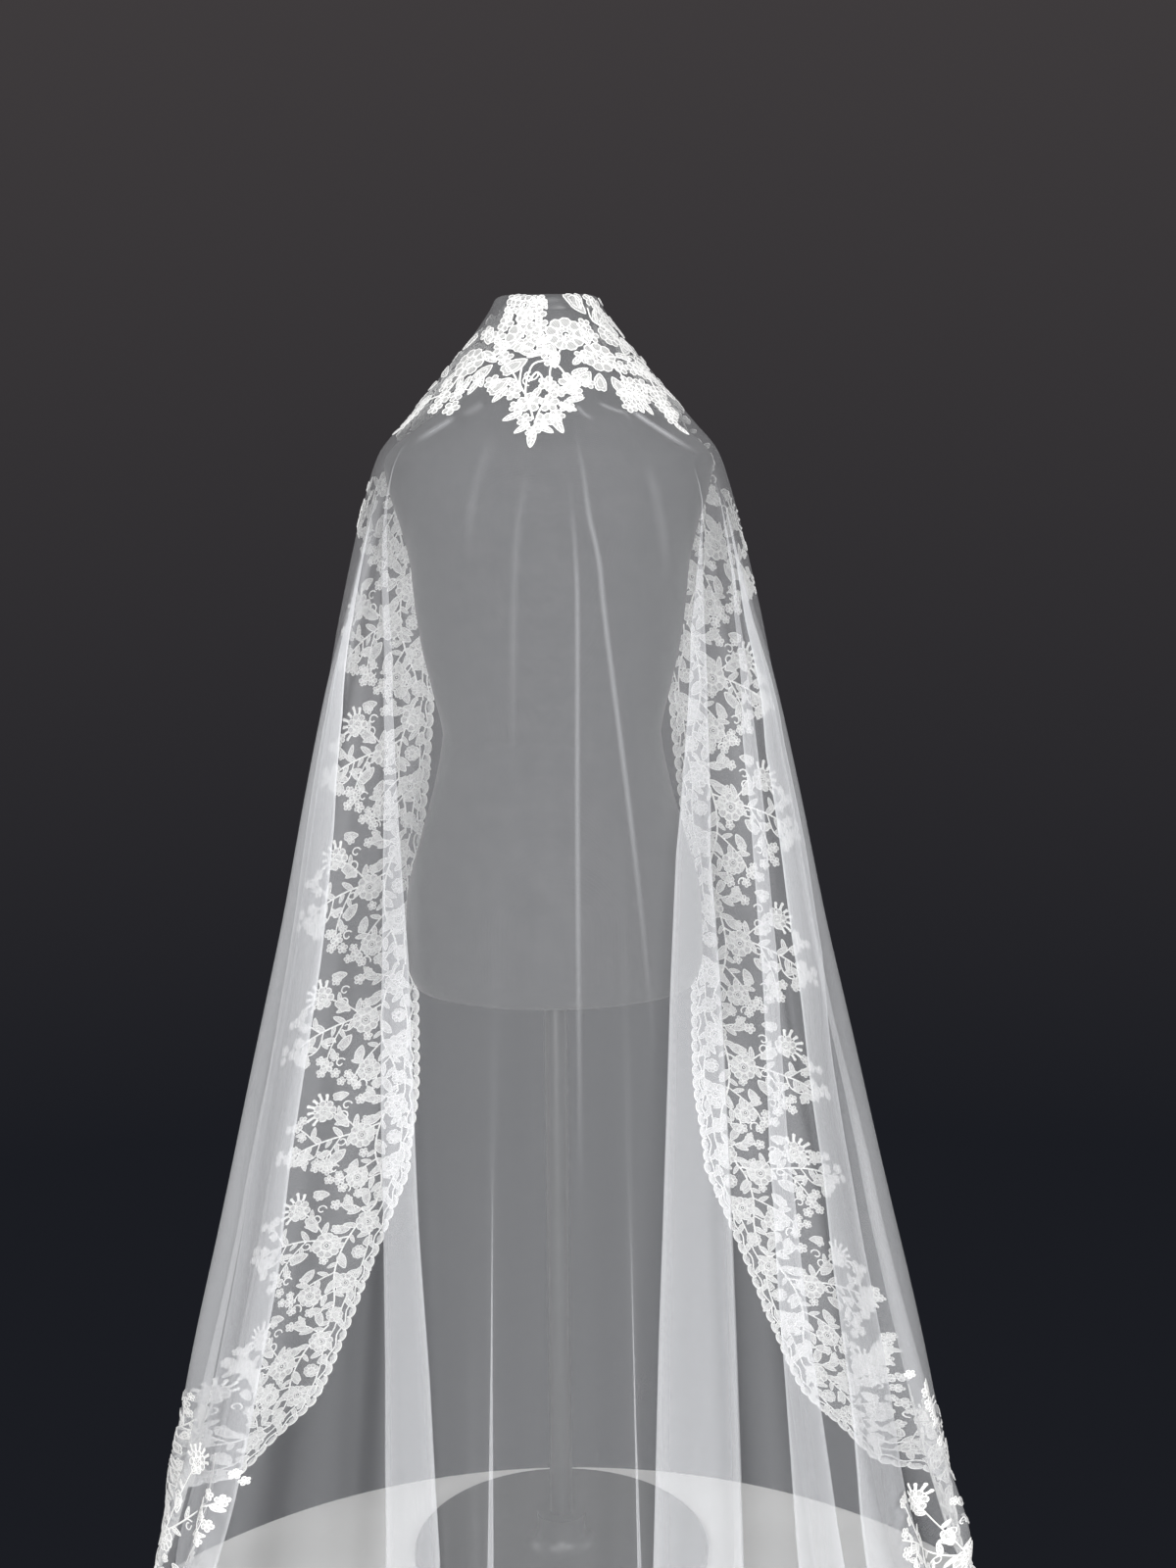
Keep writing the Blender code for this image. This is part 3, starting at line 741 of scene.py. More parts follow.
class MaterialBuilder(NodeBuilder):
    """Adds the nodes of one material round its Principled shader."""

    def __init__(self, name: str) -> None:
        """Starts a material of this name."""
        self.material = bpy.data.materials.new(name)
        self.material.use_nodes = True
        super().__init__(self.material.node_tree)
        self.shader = self.tree.nodes["Principled BSDF"]

    def shade(self, settings: dict) -> Material:
        """Sets up the shader and hands the material over."""
        self.fill(self.shader, settings)
        return self.material

    def effect(self, tree: NodeTree, flat: bool = False, **values: float) -> NodeSocket:
        """Places a shared effect.

        Args:
            tree: The effect's group.
            flat: Whether it follows the piece's flat work, in metres, rather than its place in space.
            **values: This finish's own numbers for it.

        Returns:
            What comes out of it.
        """
        if flat:
            where = self.node("ShaderNodeUVMap", {"uv_map": STITCH}).outputs["UV"]
        else:
            where = self.node("ShaderNodeTexCoord", {}).outputs["Object"]
        named = {key.title(): value for key, value in values.items()}
        return self.node("ShaderNodeGroup", {"node_tree": tree, **named, "Vector": where}).outputs["Value"]

    def scaled(self, value: NodeSocket, factor: float, start: float) -> NodeSocket:
        """The value times a factor, from a starting level."""
        sums = {"operation": "MULTIPLY_ADD", 0: value, 1: factor, 2: start}
        return self.node("ShaderNodeMath", sums).outputs[0]

    def raised(self, height: NodeSocket, strength: float, distance: float) -> NodeSocket:
        """The normal of a surface that this height raises."""
        bump = {"Strength": strength, "Distance": distance, "Height": height}
        return self.node("ShaderNodeBump", bump).outputs["Normal"]


class EffectBuilder(NodeBuilder):
    """Adds the nodes of one shared effect, a group with a Vector, numbers, and a Value that comes out."""

    def __init__(self, name: str, **numbers: float) -> None:
        """Starts the group.

        Args:
            name: The group's name.
            **numbers: Its other inputs, with what they are when a finish says nothing.
        """
        super().__init__(bpy.data.node_groups.new(name, "ShaderNodeTree"))
        add = self.tree.interface.new_socket
        add("Vector", in_out="INPUT", socket_type="NodeSocketVector")
        for key, value in numbers.items():
            add(key.title(), in_out="INPUT", socket_type="NodeSocketFloat").default_value = value
        add("Value", in_out="OUTPUT", socket_type="NodeSocketFloat")
        self.given = self.node("NodeGroupInput", {}).outputs
        self.pattern = {"Vector": self.given["Vector"], "Scale": self.given["Scale"]}

    def done(self, value: NodeSocket) -> NodeTree:
        """Lets this value out and hands the group over."""
        self.node("NodeGroupOutput", {"Value": value})
        return self.tree


class SharedEffects:
    """Node groups that more than one finish uses."""

    def __init__(self) -> None:
        """Builds each effect once."""
        self.mottle = self.make_mottle()
        self.weave = self.make_weave()
        self.net = self.make_net()

    @staticmethod
    def make_mottle() -> NodeTree:
        """Soft cloudy variation between two levels."""
        made = EffectBuilder("soft_mottle", scale=8.0, low=0.0, high=1.0)
        clouds = made.node("ShaderNodeTexNoise", {"Detail": 4.0, "Roughness": 0.6, **made.pattern})
        levels = {"To Min": made.given["Low"], "To Max": made.given["High"]}
        spread = {"From Min": 0.3, "From Max": 0.7, "Value": clouds.outputs["Fac"], **levels}
        return made.done(made.node("ShaderNodeMapRange", spread).outputs["Result"])

    @staticmethod
    def make_weave() -> NodeTree:
        """Fine cells of net or knit, from 0 in a hole to 1 on a thread."""
        made = EffectBuilder("fine_cells", scale=700.0, thread=0.4)
        edges = {"feature": "DISTANCE_TO_EDGE", "Randomness": 0.35, **made.pattern}
        away = made.node("ShaderNodeTexVoronoi", edges).outputs["Distance"]
        threads = {"From Min": 0.0, "From Max": made.given["Thread"], "To Min": 1.0, "To Max": 0.0}
        return made.done(made.node("ShaderNodeMapRange", {**threads, "Value": away}).outputs["Result"])

    @staticmethod
    def make_net() -> NodeTree:
        """Rows of small open cells in flat work, from 0 in a hole to 1 on a thread."""
        made = EffectBuilder("net_cells", scale=300.0, thread=0.1)
        cells = {"Brick Width": 0.5, "Row Height": 0.45, "Mortar Smooth": 0.6, **made.pattern}
        rows = made.node("ShaderNodeTexBrick", {**cells, "Mortar Size": made.given["Thread"]})
        return made.done(rows.outputs["Fac"])


@dataclass(frozen=True)
class TulleFinish:
    """Sheer soft net, denser where it is gathered."""

    low: Triple = (0.80, 0.82, 0.86)
    high: Triple = (0.92, 0.93, 0.95)
    cover: float = 0.138
    cell_scale: float = 400.0
    thread: float = 0.10
    net_share: float = 0.80
    roughness: float = 0.6
    sheen: float = 0.3
    sheen_roughness: float = 0.4

    def build(self, effects: SharedEffects) -> Material:
        """Makes the material.

        Args:
            effects: The shared effects.

        Returns:
            The material.
        """
        made = MaterialBuilder("sheer_tulle")
        net = made.effect(effects.net, flat=True, scale=self.cell_scale, thread=self.thread)
        share = self.cover * self.net_share
        threads = made.scaled(net, share, self.cover - share / 2)
        gathered = made.node("ShaderNodeAttribute", {"attribute_name": GATHERED}).outputs["Fac"]
        product = {"operation": "MULTIPLY", "use_clamp": True, 0: threads, 1: gathered}
        return made.shade(
            {
                "Base Color": made.blend(net, self.low, self.high),
                "Roughness": self.roughness,
                "Sheen Weight": self.sheen,
                "Sheen Roughness": self.sheen_roughness,
                "Specular IOR Level": 0.0,
                "Alpha": made.node("ShaderNodeMath", product).outputs[0],
            }
        )


@dataclass(frozen=True)
class LaceFinish:
    """Matt white thread: raised cord, or the stitched net inside petals.

    Attributes:
        name: The material's name.
        low: Its colour in a hole.
        high: Its colour on a thread.
        cell_scale: How small its cells are.
        thread: How wide the threads are.
        holes: How much a hole covers.
    """

    name: str
    low: Triple
    high: Triple
    cell_scale: float = 900.0
    thread: float = 0.10
    holes: float = 1.0
    roughness: float = 0.7
    sheen: float = 0.2
    gloss: float = 0.2

    def build(self, effects: SharedEffects) -> Material:
        """Makes the material.

        Args:
            effects: The shared effects.

        Returns:
            The material.
        """
        made = MaterialBuilder(self.name)
        net = made.effect(effects.net, flat=True, scale=self.cell_scale, thread=self.thread)
        if self.holes < 1:
            made.shade({"Alpha": made.scaled(net, 1 - self.holes, self.holes)})
        colour = made.blend(net, self.low, self.high)
        thread = {"Roughness": self.roughness, "Sheen Weight": self.sheen, "Specular IOR Level": self.gloss}
        return made.shade({"Base Color": colour, **thread})


OPEN_FILL = {"cell_scale": 300.0, "thread": 0.12}
OUTER_LACE = (
    LaceFinish("lace_cord", (0.84, 0.84, 0.83), (0.95, 0.95, 0.94)),
    LaceFinish("lace_fill", (0.39, 0.39, 0.40), (0.74, 0.74, 0.73), holes=0.22, **OPEN_FILL),
)
# Painted light: the edge lace is the same white thread as the crown's lace. It is given lighter colours to
# make up for the shade it lies in behind the tulle.
SHADE_LIFTED_LACE = (
    LaceFinish("shade_lifted_lace_cord", (0.94, 0.94, 0.93), (1.0, 1.0, 0.99)),
    LaceFinish("shade_lifted_lace_fill", (0.42, 0.42, 0.43), (0.84, 0.84, 0.83), holes=0.20, **OPEN_FILL),
)


@dataclass(frozen=True)
class JerseyFinish:
    """Black knitted cover of the form."""

    low: Triple = (0.010, 0.010, 0.012)
    high: Triple = (0.024, 0.024, 0.028)

    def build(self, effects: SharedEffects) -> Material:
        """Makes the material.

        Args:
            effects: The shared effects.

        Returns:
            The material.
        """
        made = MaterialBuilder("black_jersey")
        knit = made.effect(effects.weave, scale=900.0, thread=0.4)
        return made.shade(
            {
                "Base Color": made.blend(knit, self.low, self.high),
                "Roughness": made.effect(effects.mottle, scale=30.0, low=0.75, high=0.95),
                "Sheen Weight": 0.15,
                "Normal": made.raised(knit, 0.4, 0.0004),
            }
        )


@dataclass(frozen=True)
class PaintFinish:
    """Black satin paint of the metal parts."""

    low: Triple = (0.010, 0.010, 0.011)
    high: Triple = (0.020, 0.020, 0.022)

    def build(self, effects: SharedEffects) -> Material:
        """Makes the material.

        Args:
            effects: The shared effects.

        Returns:
            The material.
        """
        made = MaterialBuilder("black_paint")
        mottle = made.effect(effects.mottle, scale=14.0, low=0.0, high=1.0)
        peel = made.effect(effects.mottle, scale=420.0, low=0.0, high=1.0)
        return made.shade(
            {
                "Base Color": made.blend(mottle, self.low, self.high),
                "Roughness": made.effect(effects.mottle, scale=90.0, low=0.28, high=0.42),
                "Normal": made.raised(peel, 0.12, 0.0002),
            }
        )


@dataclass
class TulleVeil:
    """The single layer of tulle, from the crown to the end of the train."""

    drape: Drape
    crown_rows: int = 30
    skirt_rows: int = 146
    front_columns: int = 56
    plain_step: float = 0.0088
    panel_step: float = 0.0055
    panel_range: Two = (-0.20, 0.19)
    pleat_step: float = 0.0009
    still_place: float = 0.86
    level: float = 0.60
    landing_height: float = 0.09
    landing_weight: float = 3.0
    shoulder_height: float = 1.34
    shoulder_weight: float = 3.5
    shoulder_fade: float = 0.03
    place_samples: int = 20001
    fall_samples: int = 500
    left_gather: float = 1.60
    right_gather: float = 0.85
    side_place: float = 0.71
    side_half_width: float = 0.13
    side_edge: float = 0.7
    side_top: float = 1.37
    side_fade: float = 0.12
    pleat_gather: float = 0.80
    inner_gather: float = 0.35
    inner_place: float = 0.25
    pleat_edge: float = 0.1
    crease_lift: float = 0.0004
    fold_places: Two = (0.25, 0.75)
    fold_line: float = 0.9
    fold_line_width: float = 0.06
    ripple_seed: int = 3
    ripples: int = 34
    ripple_strength: float = 0.16
    ripple_strengths: Two = (-0.6, 1.0)
    ripple_widths: Two = (0.004, 0.016)
    ripple_lean: float = 0.06
    ripple_lowest: float = 0.5
    ripple_top: float = 1.40
    ripple_top_fade: float = 0.20
    ripple_fade: float = 0.3
    ripple_narrowing: float = 0.15
    flat_size: Two = (2.60, 2.35)
    cut_area: float = 3.90
    creases: tuple[Crease, ...] = tuple(Crease(*row) for row in PULLED)

    def column_places(self) -> Array:
        """Places of the columns at one level: close together in a pleat, further apart elsewhere.

        Returns:
            The places, from -1 to 1.
        """
        fine = np.linspace(-1, 1, self.place_samples)
        density = np.full_like(fine, 1 / self.plain_step)
        density[(fine > self.panel_range[0]) & (fine < self.panel_range[1])] = 1 / self.panel_step
        half = self.drape.pleat_base / 2 + self.drape.pleat_margin
        for pleat in self.drape.pleats:
            density[np.abs(fine - pleat.read(self.level)[0]) < half] = 1 / self.pleat_step
        total = np.concatenate([[0.0], np.cumsum((density[1:] + density[:-1]) / 2 * np.diff(fine))])
        return np.interp(np.linspace(0, total[-1], int(round(total[-1])) + 1), total, fine)

    def follow(self, columns: Array, heights: Array) -> Array:
        """Lets the columns keep to the pleats as these drift.

        Args:
            columns: Each column's place at the one level.
            heights: Heights, with the columns along the last axis.

        Returns:
            The places at those heights.
        """
        half = self.drape.pleat_base / 2 + self.drape.pleat_margin
        ordered = sorted(self.drape.pleats, key=lambda pleat: float(pleat.read(self.level)[0]))
        still = np.ones_like(heights)
        knots = [(-1.0, -still), (-self.still_place, -self.still_place * still)]
        for pleat in ordered:
            named = float(pleat.read(self.level)[0])
            centre = pleat.read(heights)[0]
            knots += [(named - half, centre - half), (named + half, centre + half)]
        knots += [(self.still_place, self.still_place * still), (1.0, still)]
        places = np.zeros_like(heights)
        for (low, low_place), (high, high_place) in zip(knots, knots[1:]):
            share = (columns - low) / (high - low)
            inside = (share >= 0) & (share <= 1)
            places = np.where(inside, low_place * (1 - share) + high_place * share, places)
        return places

    def skirt_falls(self, places: Array) -> Array:
        """Falls of the rows below the crown for each column, closer at the shoulder and the floor.

        Args:
            places: The columns' places at the hem.

        Returns:
            The falls, row by row.
        """
        drape = self.drape
        ends = drape.fall_to(drape.hem_height(places))
        shares = np.linspace(0, 1, self.fall_samples)
        falls = drape.collar + (ends[None, :] - drape.collar) * shares[:, None]
        heights = drape.read("height", falls)
        weights = 1 + self.landing_weight * np.exp(-((heights / self.landing_height) ** 2))
        shoulder = smooth_step((heights - self.shoulder_height) / self.shoulder_fade)
        weights = weights + self.shoulder_weight * shoulder
        total = np.cumsum((weights[1:] + weights[:-1]) / 2, axis=0)
        total = np.concatenate([np.zeros((1, len(places))), total])
        rows = [
            np.interp(np.linspace(0, total[-1, k], self.skirt_rows + 1)[1:], total[:, k], falls[:, k])
            for k in range(len(places))
        ]
        return np.array(rows).T

    def gathered(self, places: Array, falls: Array) -> Array:
        """How much denser the net is at each point than where it lies flat.

        Args:
            places: Places across.
            falls: Falls from the crown.

        Returns:
            1 where it lies flat, and more in a fold.
        """
        heights = self.drape.read("height", falls)
        aside = np.abs(np.abs(places) - self.side_place) / self.side_half_width
        gather = np.where(places < 0, self.left_gather, self.right_gather)
        starts = smooth_step((self.side_top - heights) / self.side_fade)
        cover = 1 + gather * smooth_step((1 - aside) / self.side_edge) * starts
        for pleat in self.drape.pleats:
            turn, reach = self.drape.turns(pleat, places, heights)
            gathered = np.minimum(1.0, reach / self.drape.pleat_full)
            outer = smooth_step(np.abs(pleat.rows[-1][1]) / self.inner_place - 1)
            dense = self.pleat_gather * (self.inner_gather + (1 - self.inner_gather) * outer)
            edges = smooth_step(turn / self.pleat_edge) * smooth_step((1 - turn) / self.pleat_edge)
            cover += dense * gathered * edges
            for fold in self.fold_places:
                line = np.exp(-(((turn - fold) / self.fold_line_width) ** 2))
                cover += self.fold_line * line * gathered
        chance = np.random.default_rng(self.ripple_seed)
        below = smooth_step((self.ripple_top - heights) / self.ripple_top_fade)
        for _ in range(self.ripples):
            top, low = chance.uniform(-1, 1), chance.uniform(-self.ripple_lean, self.ripple_lean)
            width, strength = chance.uniform(*self.ripple_widths), chance.uniform(*self.ripple_strengths)
            starts = chance.uniform(self.ripple_lowest, self.ripple_top)
            spread = 1 - self.ripple_narrowing * (1 - np.clip(heights, 0, 1))
            centre = top * spread + low * (1 - heights)
            line = np.exp(-(((places - centre) / width) ** 2))
            line = line * smooth_step((starts - heights) / self.ripple_fade)
            cover += self.ripple_strength * strength * line * below
        return cover

    def build(self, finish: Material) -> Object:
        """Makes the sheet.

        Args:
            finish: The tulle.

        Returns:
            The piece.
        """
        drape = self.drape
        columns = self.column_places()
        count = len(columns)
        top = np.full(count, RINGS[0][0])
        beyond = np.linspace(1, drape.front_place, self.front_columns // 2 + 1)[1:]
        ring_places = np.concatenate([self.follow(columns, top), beyond, -beyond[::-1][1:]])
        ring = len(ring_places)
        shares = (np.arange(1, self.crown_rows + 1) / self.crown_rows)[:, None]
        crown_falls = drape.collar * shares * drape.front_reach(ring_places)[None, :]
        crown_places = np.broadcast_to(ring_places, crown_falls.shape)
        skirt_falls = self.skirt_falls(self.follow(columns, -top))
        skirt_places = self.follow(columns, drape.read("height", skirt_falls))
        places = np.concatenate([[0.0], crown_places.ravel(), skirt_places.ravel()])
        falls = np.concatenate([[0.0], crown_falls.ravel(), skirt_falls.ravel()])
        points = drape.points(places, falls)
        crown = point_grid(self.crown_rows, ring, closed=True, first=1)
        skirt = point_grid(*skirt_falls.shape, first=1 + self.crown_rows * ring)
        top_faces = np.stack([np.zeros(ring, int), crown[0, :-1], crown[0, 1:]], -1)
        faces = [top_faces, grid_faces(crown), grid_faces(np.concatenate([crown[-1:, :count], skirt]))]
        flat = [np.stack([drape.across(places, falls), falls], -1)]
        points, density = [points], [self.gathered(places, falls)]
        for crease in self.creases:
            seen, ribbon, dense = crease.ribbon()
            angle, fall = drape.back_spot(seen)
            faces.append(ribbon + sum(map(len, points)))
            lift = np.full(len(fall), self.crease_lift)
            points.append(drape.points(drape.place_at(angle, fall), fall, lift))
            flat.append(seen)
            density.append(dense)
        points, faces, flat = np.concatenate(points), np.concatenate(faces), np.concatenate(flat)
        piece = mesh_piece("tulle_veil", points, faces, [finish], flat=flat)
        attribute = piece.data.attributes.new(GATHERED, "FLOAT", "POINT")
        attribute.data.foreach_set("value", np.concatenate(density).astype(np.float32))
        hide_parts("veil_tulle")
        LOG.info("tulle_veil: %d triangles in %d columns", len(piece.data.polygons), count)
        return piece


@dataclass
class Gathering:
    """Bits of work put together, each with its points, triangles and what else goes with them."""

    bits: list[tuple[Array, ...]] = field(default_factory=list)
    count: int = 0

    def add(self, points: Array, faces: Array, *more: Array) -> None:
        """Adds a bit, whose triangles number its own points."""
        self.bits.append((points, faces + self.count, *more))
        self.count += len(points)

    def arrays(self) -> tuple[Array, ...]:
        """All the points, all the triangles and so on."""
        return tuple(np.concatenate(arrays) for arrays in zip(*self.bits))


class Artwork(Gathering):
    """One small flat piece of lace work: points with heights, triangles and their finish."""

    def sew(self, points: Array, faces: Array, kind: Thread) -> None:
        """Adds points and triangles of one finish."""
        self.add(points, faces, np.full(len(faces), kind.value))

    def cord(self, line: Array, width: float, rise: float, closed: bool = False, base: float = 0.0) -> None:
        """Adds a raised cord along a line.

        Args:
            line: Points of its middle, as rows of x and y.
            width: Its width.
            rise: Its height.
            closed: Whether its end joins its start.
            base: The height it lies at.
        """
        line = np.asarray(line, float)
        if closed:
            ahead, behind = np.roll(line, -1, axis=0), np.roll(line, 1, axis=0)
        else:
            ahead = np.concatenate([line[1:], 2 * line[-1:] - line[-2:-1]])
            behind = np.concatenate([2 * line[:1] - line[1:2], line[:-1]])
        way = units(ahead - behind)
        left = np.stack([-way[:, 1], way[:, 0]], -1) * width / 2
        rows = [at_height(line + left, base), at_height(line, base + rise), at_height(line - left, base)]
        self.sew(np.concatenate(rows), grid_faces(point_grid(3, len(line), closed)), Thread.CORD)

    def patch(
        self,
        line: Array,
        middle: Two,
        height: float,
        rise: float = 0.0,
        kind: Thread = Thread.FILL,
    ) -> None:
        """Adds work inside a closed line.

        Args:
            line: The line, as rows of x and y.
            middle: Its middle.
            height: The height of the line.
            rise: How much higher the middle is.
            kind: The finish.
        """
        count = len(line)
        points = np.concatenate([at_height(line, height), [[*middle, height + rise]]])
        ahead = np.roll(line, -1, axis=0)
        area = np.cross(line - np.array(middle), ahead - np.array(middle)).sum()
        step = np.arange(count)
        faces = np.stack([step, (step + 1) % count, np.full(count, count)], -1)
        self.sew(points, faces if area > 0 else faces[:, [1, 0, 2]], kind)

    def band(self, inner: Array, outer: Array, height: float) -> None:
        """Adds stitched fill between two closed lines with as many points."""
        points = at_height(np.concatenate([inner, outer]), height)
        self.sew(points, grid_faces(point_grid(2, len(inner), closed=True)), Thread.FILL)


@dataclass(frozen=True)
class Needlework:
    """Draws each kind of flat lace work, at its real size in metres."""

    cord: float = 1.35 * MM
    fine_cord: float = 0.95 * MM
    rise: float = 0.75 * MM
    leaf_length: float = 20 * MM
    leaf_width: float = 9 * MM
    petal_length: float = 24 * MM
    petal_width: float = 15 * MM
    blossom_radius: float = 7.2 * MM
    rose_radius: float = 16 * MM
    scallop_width: float = 17 * MM
    scallop_depth: float = 0.62
    ground: float = 0.15 * MM
    on_fill: float = 0.25 * MM
    knot_sides: int = 6
    stamens: int = 7
    rose_petal: Rows = (
        (0.47, -0.09), (0.64, -0.24), (0.86, -0.29), (1, -0.13), (1, 0.13), (0.86, 0.29), (0.64, 0.24),
        (0.47, 0.09),
    )
    small_petal: Rows = (
        (0.16, 0), (0.55, -0.36), (0.92, -0.27), (1.02, 0), (0.92, 0.27), (0.55, 0.36),
    )

    def draw(self, motif: Motif) -> Art:
        """The points, triangles and finishes of one motif."""
        art = Artwork()
        getattr(self, motif.value)(art)
        return art.arrays()

    @staticmethod
    def turned(line: Array, turn: float) -> Array:
        """The line turned about the middle."""
        c, s = math.cos(turn), math.sin(turn)
        return np.asarray(line, float) @ np.array([[c, s], [-s, c]])

    @staticmethod
    def ring(radius: float, count: int, wave: float = 0.0, waves: int = 0) -> Array:
        """A closed round line whose radius may wave a little."""
        angle = np.linspace(0, 2 * math.pi, count, endpoint=False)
        reach = radius * (1 + wave * np.cos(waves * angle))
        return np.stack([reach * np.cos(angle), reach * np.sin(angle)], -1)

    def leaf(self, art: Artwork) -> None:
        """A pointed leaf with a midrib and side veins, from its foot along x.

        Args:
            art: Gathers the work.
        """
        length, width = self.leaf_length, self.leaf_width
        angle = np.linspace(0, 2 * math.pi, 12, endpoint=False)
        along = length * (1 - np.cos(angle)) / 2
        across = width / 2 * np.sin(angle) * (0.8 + 0.2 * np.cos(angle)) * np.abs(np.sin(angle)) ** 0.2
        outline = np.stack([along, across], -1)
        art.patch(outline, (length * 0.5, 0.0), self.ground, 0.2 * MM)
        art.cord(outline, self.fine_cord * 1.15, self.rise * 0.8, closed=True)
        midrib = np.array([[0.0, 0.0], [0.5, 0.0], [0.9, 0.0]]) * length
        art.cord(midrib, self.fine_cord, self.rise * 0.6, base=self.on_fill)
        for share in (0.28, 0.52):
            for hand in (1, -1):
                vein = np.array([[share, 0.0], [share + 0.16, 0.30 * hand * width / length]]) * length
                art.cord(vein, self.fine_cord * 0.6, self.rise * 0.5, base=self.on_fill)

    def petal(self, art: Artwork) -> None:
        """A large netted petal with a waved edge and an inner line, from its foot along x.

        Args:
            art: Gathers the work.
        """
        angle = np.linspace(0, 2 * math.pi, 16, endpoint=False)
        wave = 1 + 0.07 * np.cos(5 * angle)
        along = self.petal_length * (1 - np.cos(angle)) / 2 * wave
        across = self.petal_width / 2 * np.sin(angle) * np.abs(np.sin(angle / 2)) ** 0.6 * wave
        outline = np.stack([along, across], -1)
        middle = np.array([self.petal_length * 0.56, 0.0])
        art.patch(outline, (middle[0], 0.0), self.ground, 0.2 * MM)
        art.cord(outline, self.cord, self.rise, closed=True)
        inner = middle + 0.6 * (outline - middle)
        art.cord(inner, self.fine_cord * 0.8, self.rise * 0.6, closed=True, base=0.2 * MM)

    def loops(self, art: Artwork, shape: Rows, radius: float, count: int, cord: float) -> None:
        """A ring of netted petal loops round the middle.

        Args:
            art: Gathers the work.
            shape: One loop, for a radius of 1.
            radius: How far they reach.
            count: How many there are.
            cord: The width of their cord.
        """
        for k in range(count):
            turn = 2 * math.pi * k / count
            outline = self.turned(np.asarray(shape) * radius, turn)
            art.patch(outline, tuple(outline.mean(axis=0)), self.ground, 0.25 * MM)
            art.cord(outline, cord, self.rise, closed=True)

    def blossom(self, art: Artwork) -> None:
        """A small flower of five round petals."""
        self.loops(art, self.small_petal, self.blossom_radius, 5, self.fine_cord * 1.25)
        self.knot(art, (0.0, 0.0), 1.3 * MM)

    def knot(self, art: Artwork, middle: Two, radius: float) -> None:
        """A small raised knot of thread."""
        rim = self.ring(radius, self.knot_sides) + np.array(middle)
        art.patch(rim, middle, 0.3 * MM, radius * 0.6, Thread.CORD)

    def rose(self, art: Artwork, petals: int = 9, size: float = 1.0) -> None:
        """A round flower: a ring of petal loops, a netted band, a waved ring and a corded eye.

        Args:
            art: Gathers the work.
            petals: How many loops it has.
            size: Its size beside a full rose.
        """
        radius = self.rose_radius * size
        self.loops(art, self.rose_petal, radius, petals, self.cord)
        inner = self.ring(0.43 * radius, 18, 0.08, 6)
        eye = self.ring(0.20 * radius, 18)
        art.band(eye, inner, 0.2 * MM)
        art.cord(inner, self.cord, self.rise, closed=True)
        art.cord(eye[::2], self.fine_cord, self.rise, closed=True, base=self.ground)
        for k in range(petals):
            turn = 2 * math.pi * (k + 0.5) / petals
            spoke = np.array([[0.52, 0.0], [0.74, 0.0]]) * radius
            art.cord(self.turned(spoke, turn), self.fine_cord * 0.8, self.rise * 0.8)
            art.cord(self.turned(spoke * 0.5, turn), self.fine_cord * 0.7, self.rise * 0.6, base=self.on_fill)
        self.knot(art, (0.0, 0.0), 1.2 * MM)

    def fan(self, art: Artwork) -> None:
        """A rose with long beaded stamens that stand out on one side.

        Args:
            art: Gathers the work.
        """
        self.rose(art, 7, 0.86)
        foot = 0.82 * self.rose_radius
        for k in range(self.stamens):
            turn = math.radians(-75 + 25 * k)
            length = self.rose_radius * (1.28 + 0.17 * (k % 2))
            stalk = np.array([[foot, 0.0], [0.5 * (foot + length), 0.4 * MM], [length, 0.0]])
            art.cord(self.turned(stalk, turn), self.cord * 1.9, self.rise)
            self.knot(art, (math.cos(turn) * length, math.sin(turn) * length), 2.5 * MM)

    def curl(self, art: Artwork) -> None:
        """A small curled tendril.

        Args:
            art: Gathers the work.
        """
        angle = np.linspace(0, 1.7 * math.pi, 11)
        reach = (7.0 - 0.85 * angle) * MM
        line = np.stack([7.0 * MM - reach * np.cos(angle), reach * np.sin(angle)], -1)
        art.cord(line, self.cord, self.rise)

    def scallop(self, art: Artwork) -> None:
        """One scallop of the border's outer edge; y runs into the cloth.

        Args:
            art: Gathers the work.
        """
        half, deep = self.scallop_width / 2, self.scallop_depth
        angle = np.linspace(math.pi, 2 * math.pi, 9)
        for share, width in ((1.0, self.cord * 1.2), (0.62, self.fine_cord)):
            arc = np.stack([half * share * np.cos(angle), deep * half * share * np.sin(angle)], -1)
            art.cord(arc, width, self.rise)
        arc = np.stack([half * np.cos(angle), deep * half * np.sin(angle)], -1)
        art.patch(np.concatenate([arc, [[0.0, 2.5 * MM]]]), (0.0, -1.0 * MM), self.ground)
        for k in range(3):
            turn = math.radians(-135 + 45 * k)
            bar = np.array([[0.62, 0.62], [1.0, 1.0]]) * half
            bar = np.stack([bar[:, 0] * math.cos(turn), bar[:, 1] * deep * math.sin(turn)], -1)
            art.cord(bar, self.fine_cord, self.rise * 0.8, base=0.1 * MM)
        self.knot(art, (-half, 0.4 * MM), 1.7 * MM)


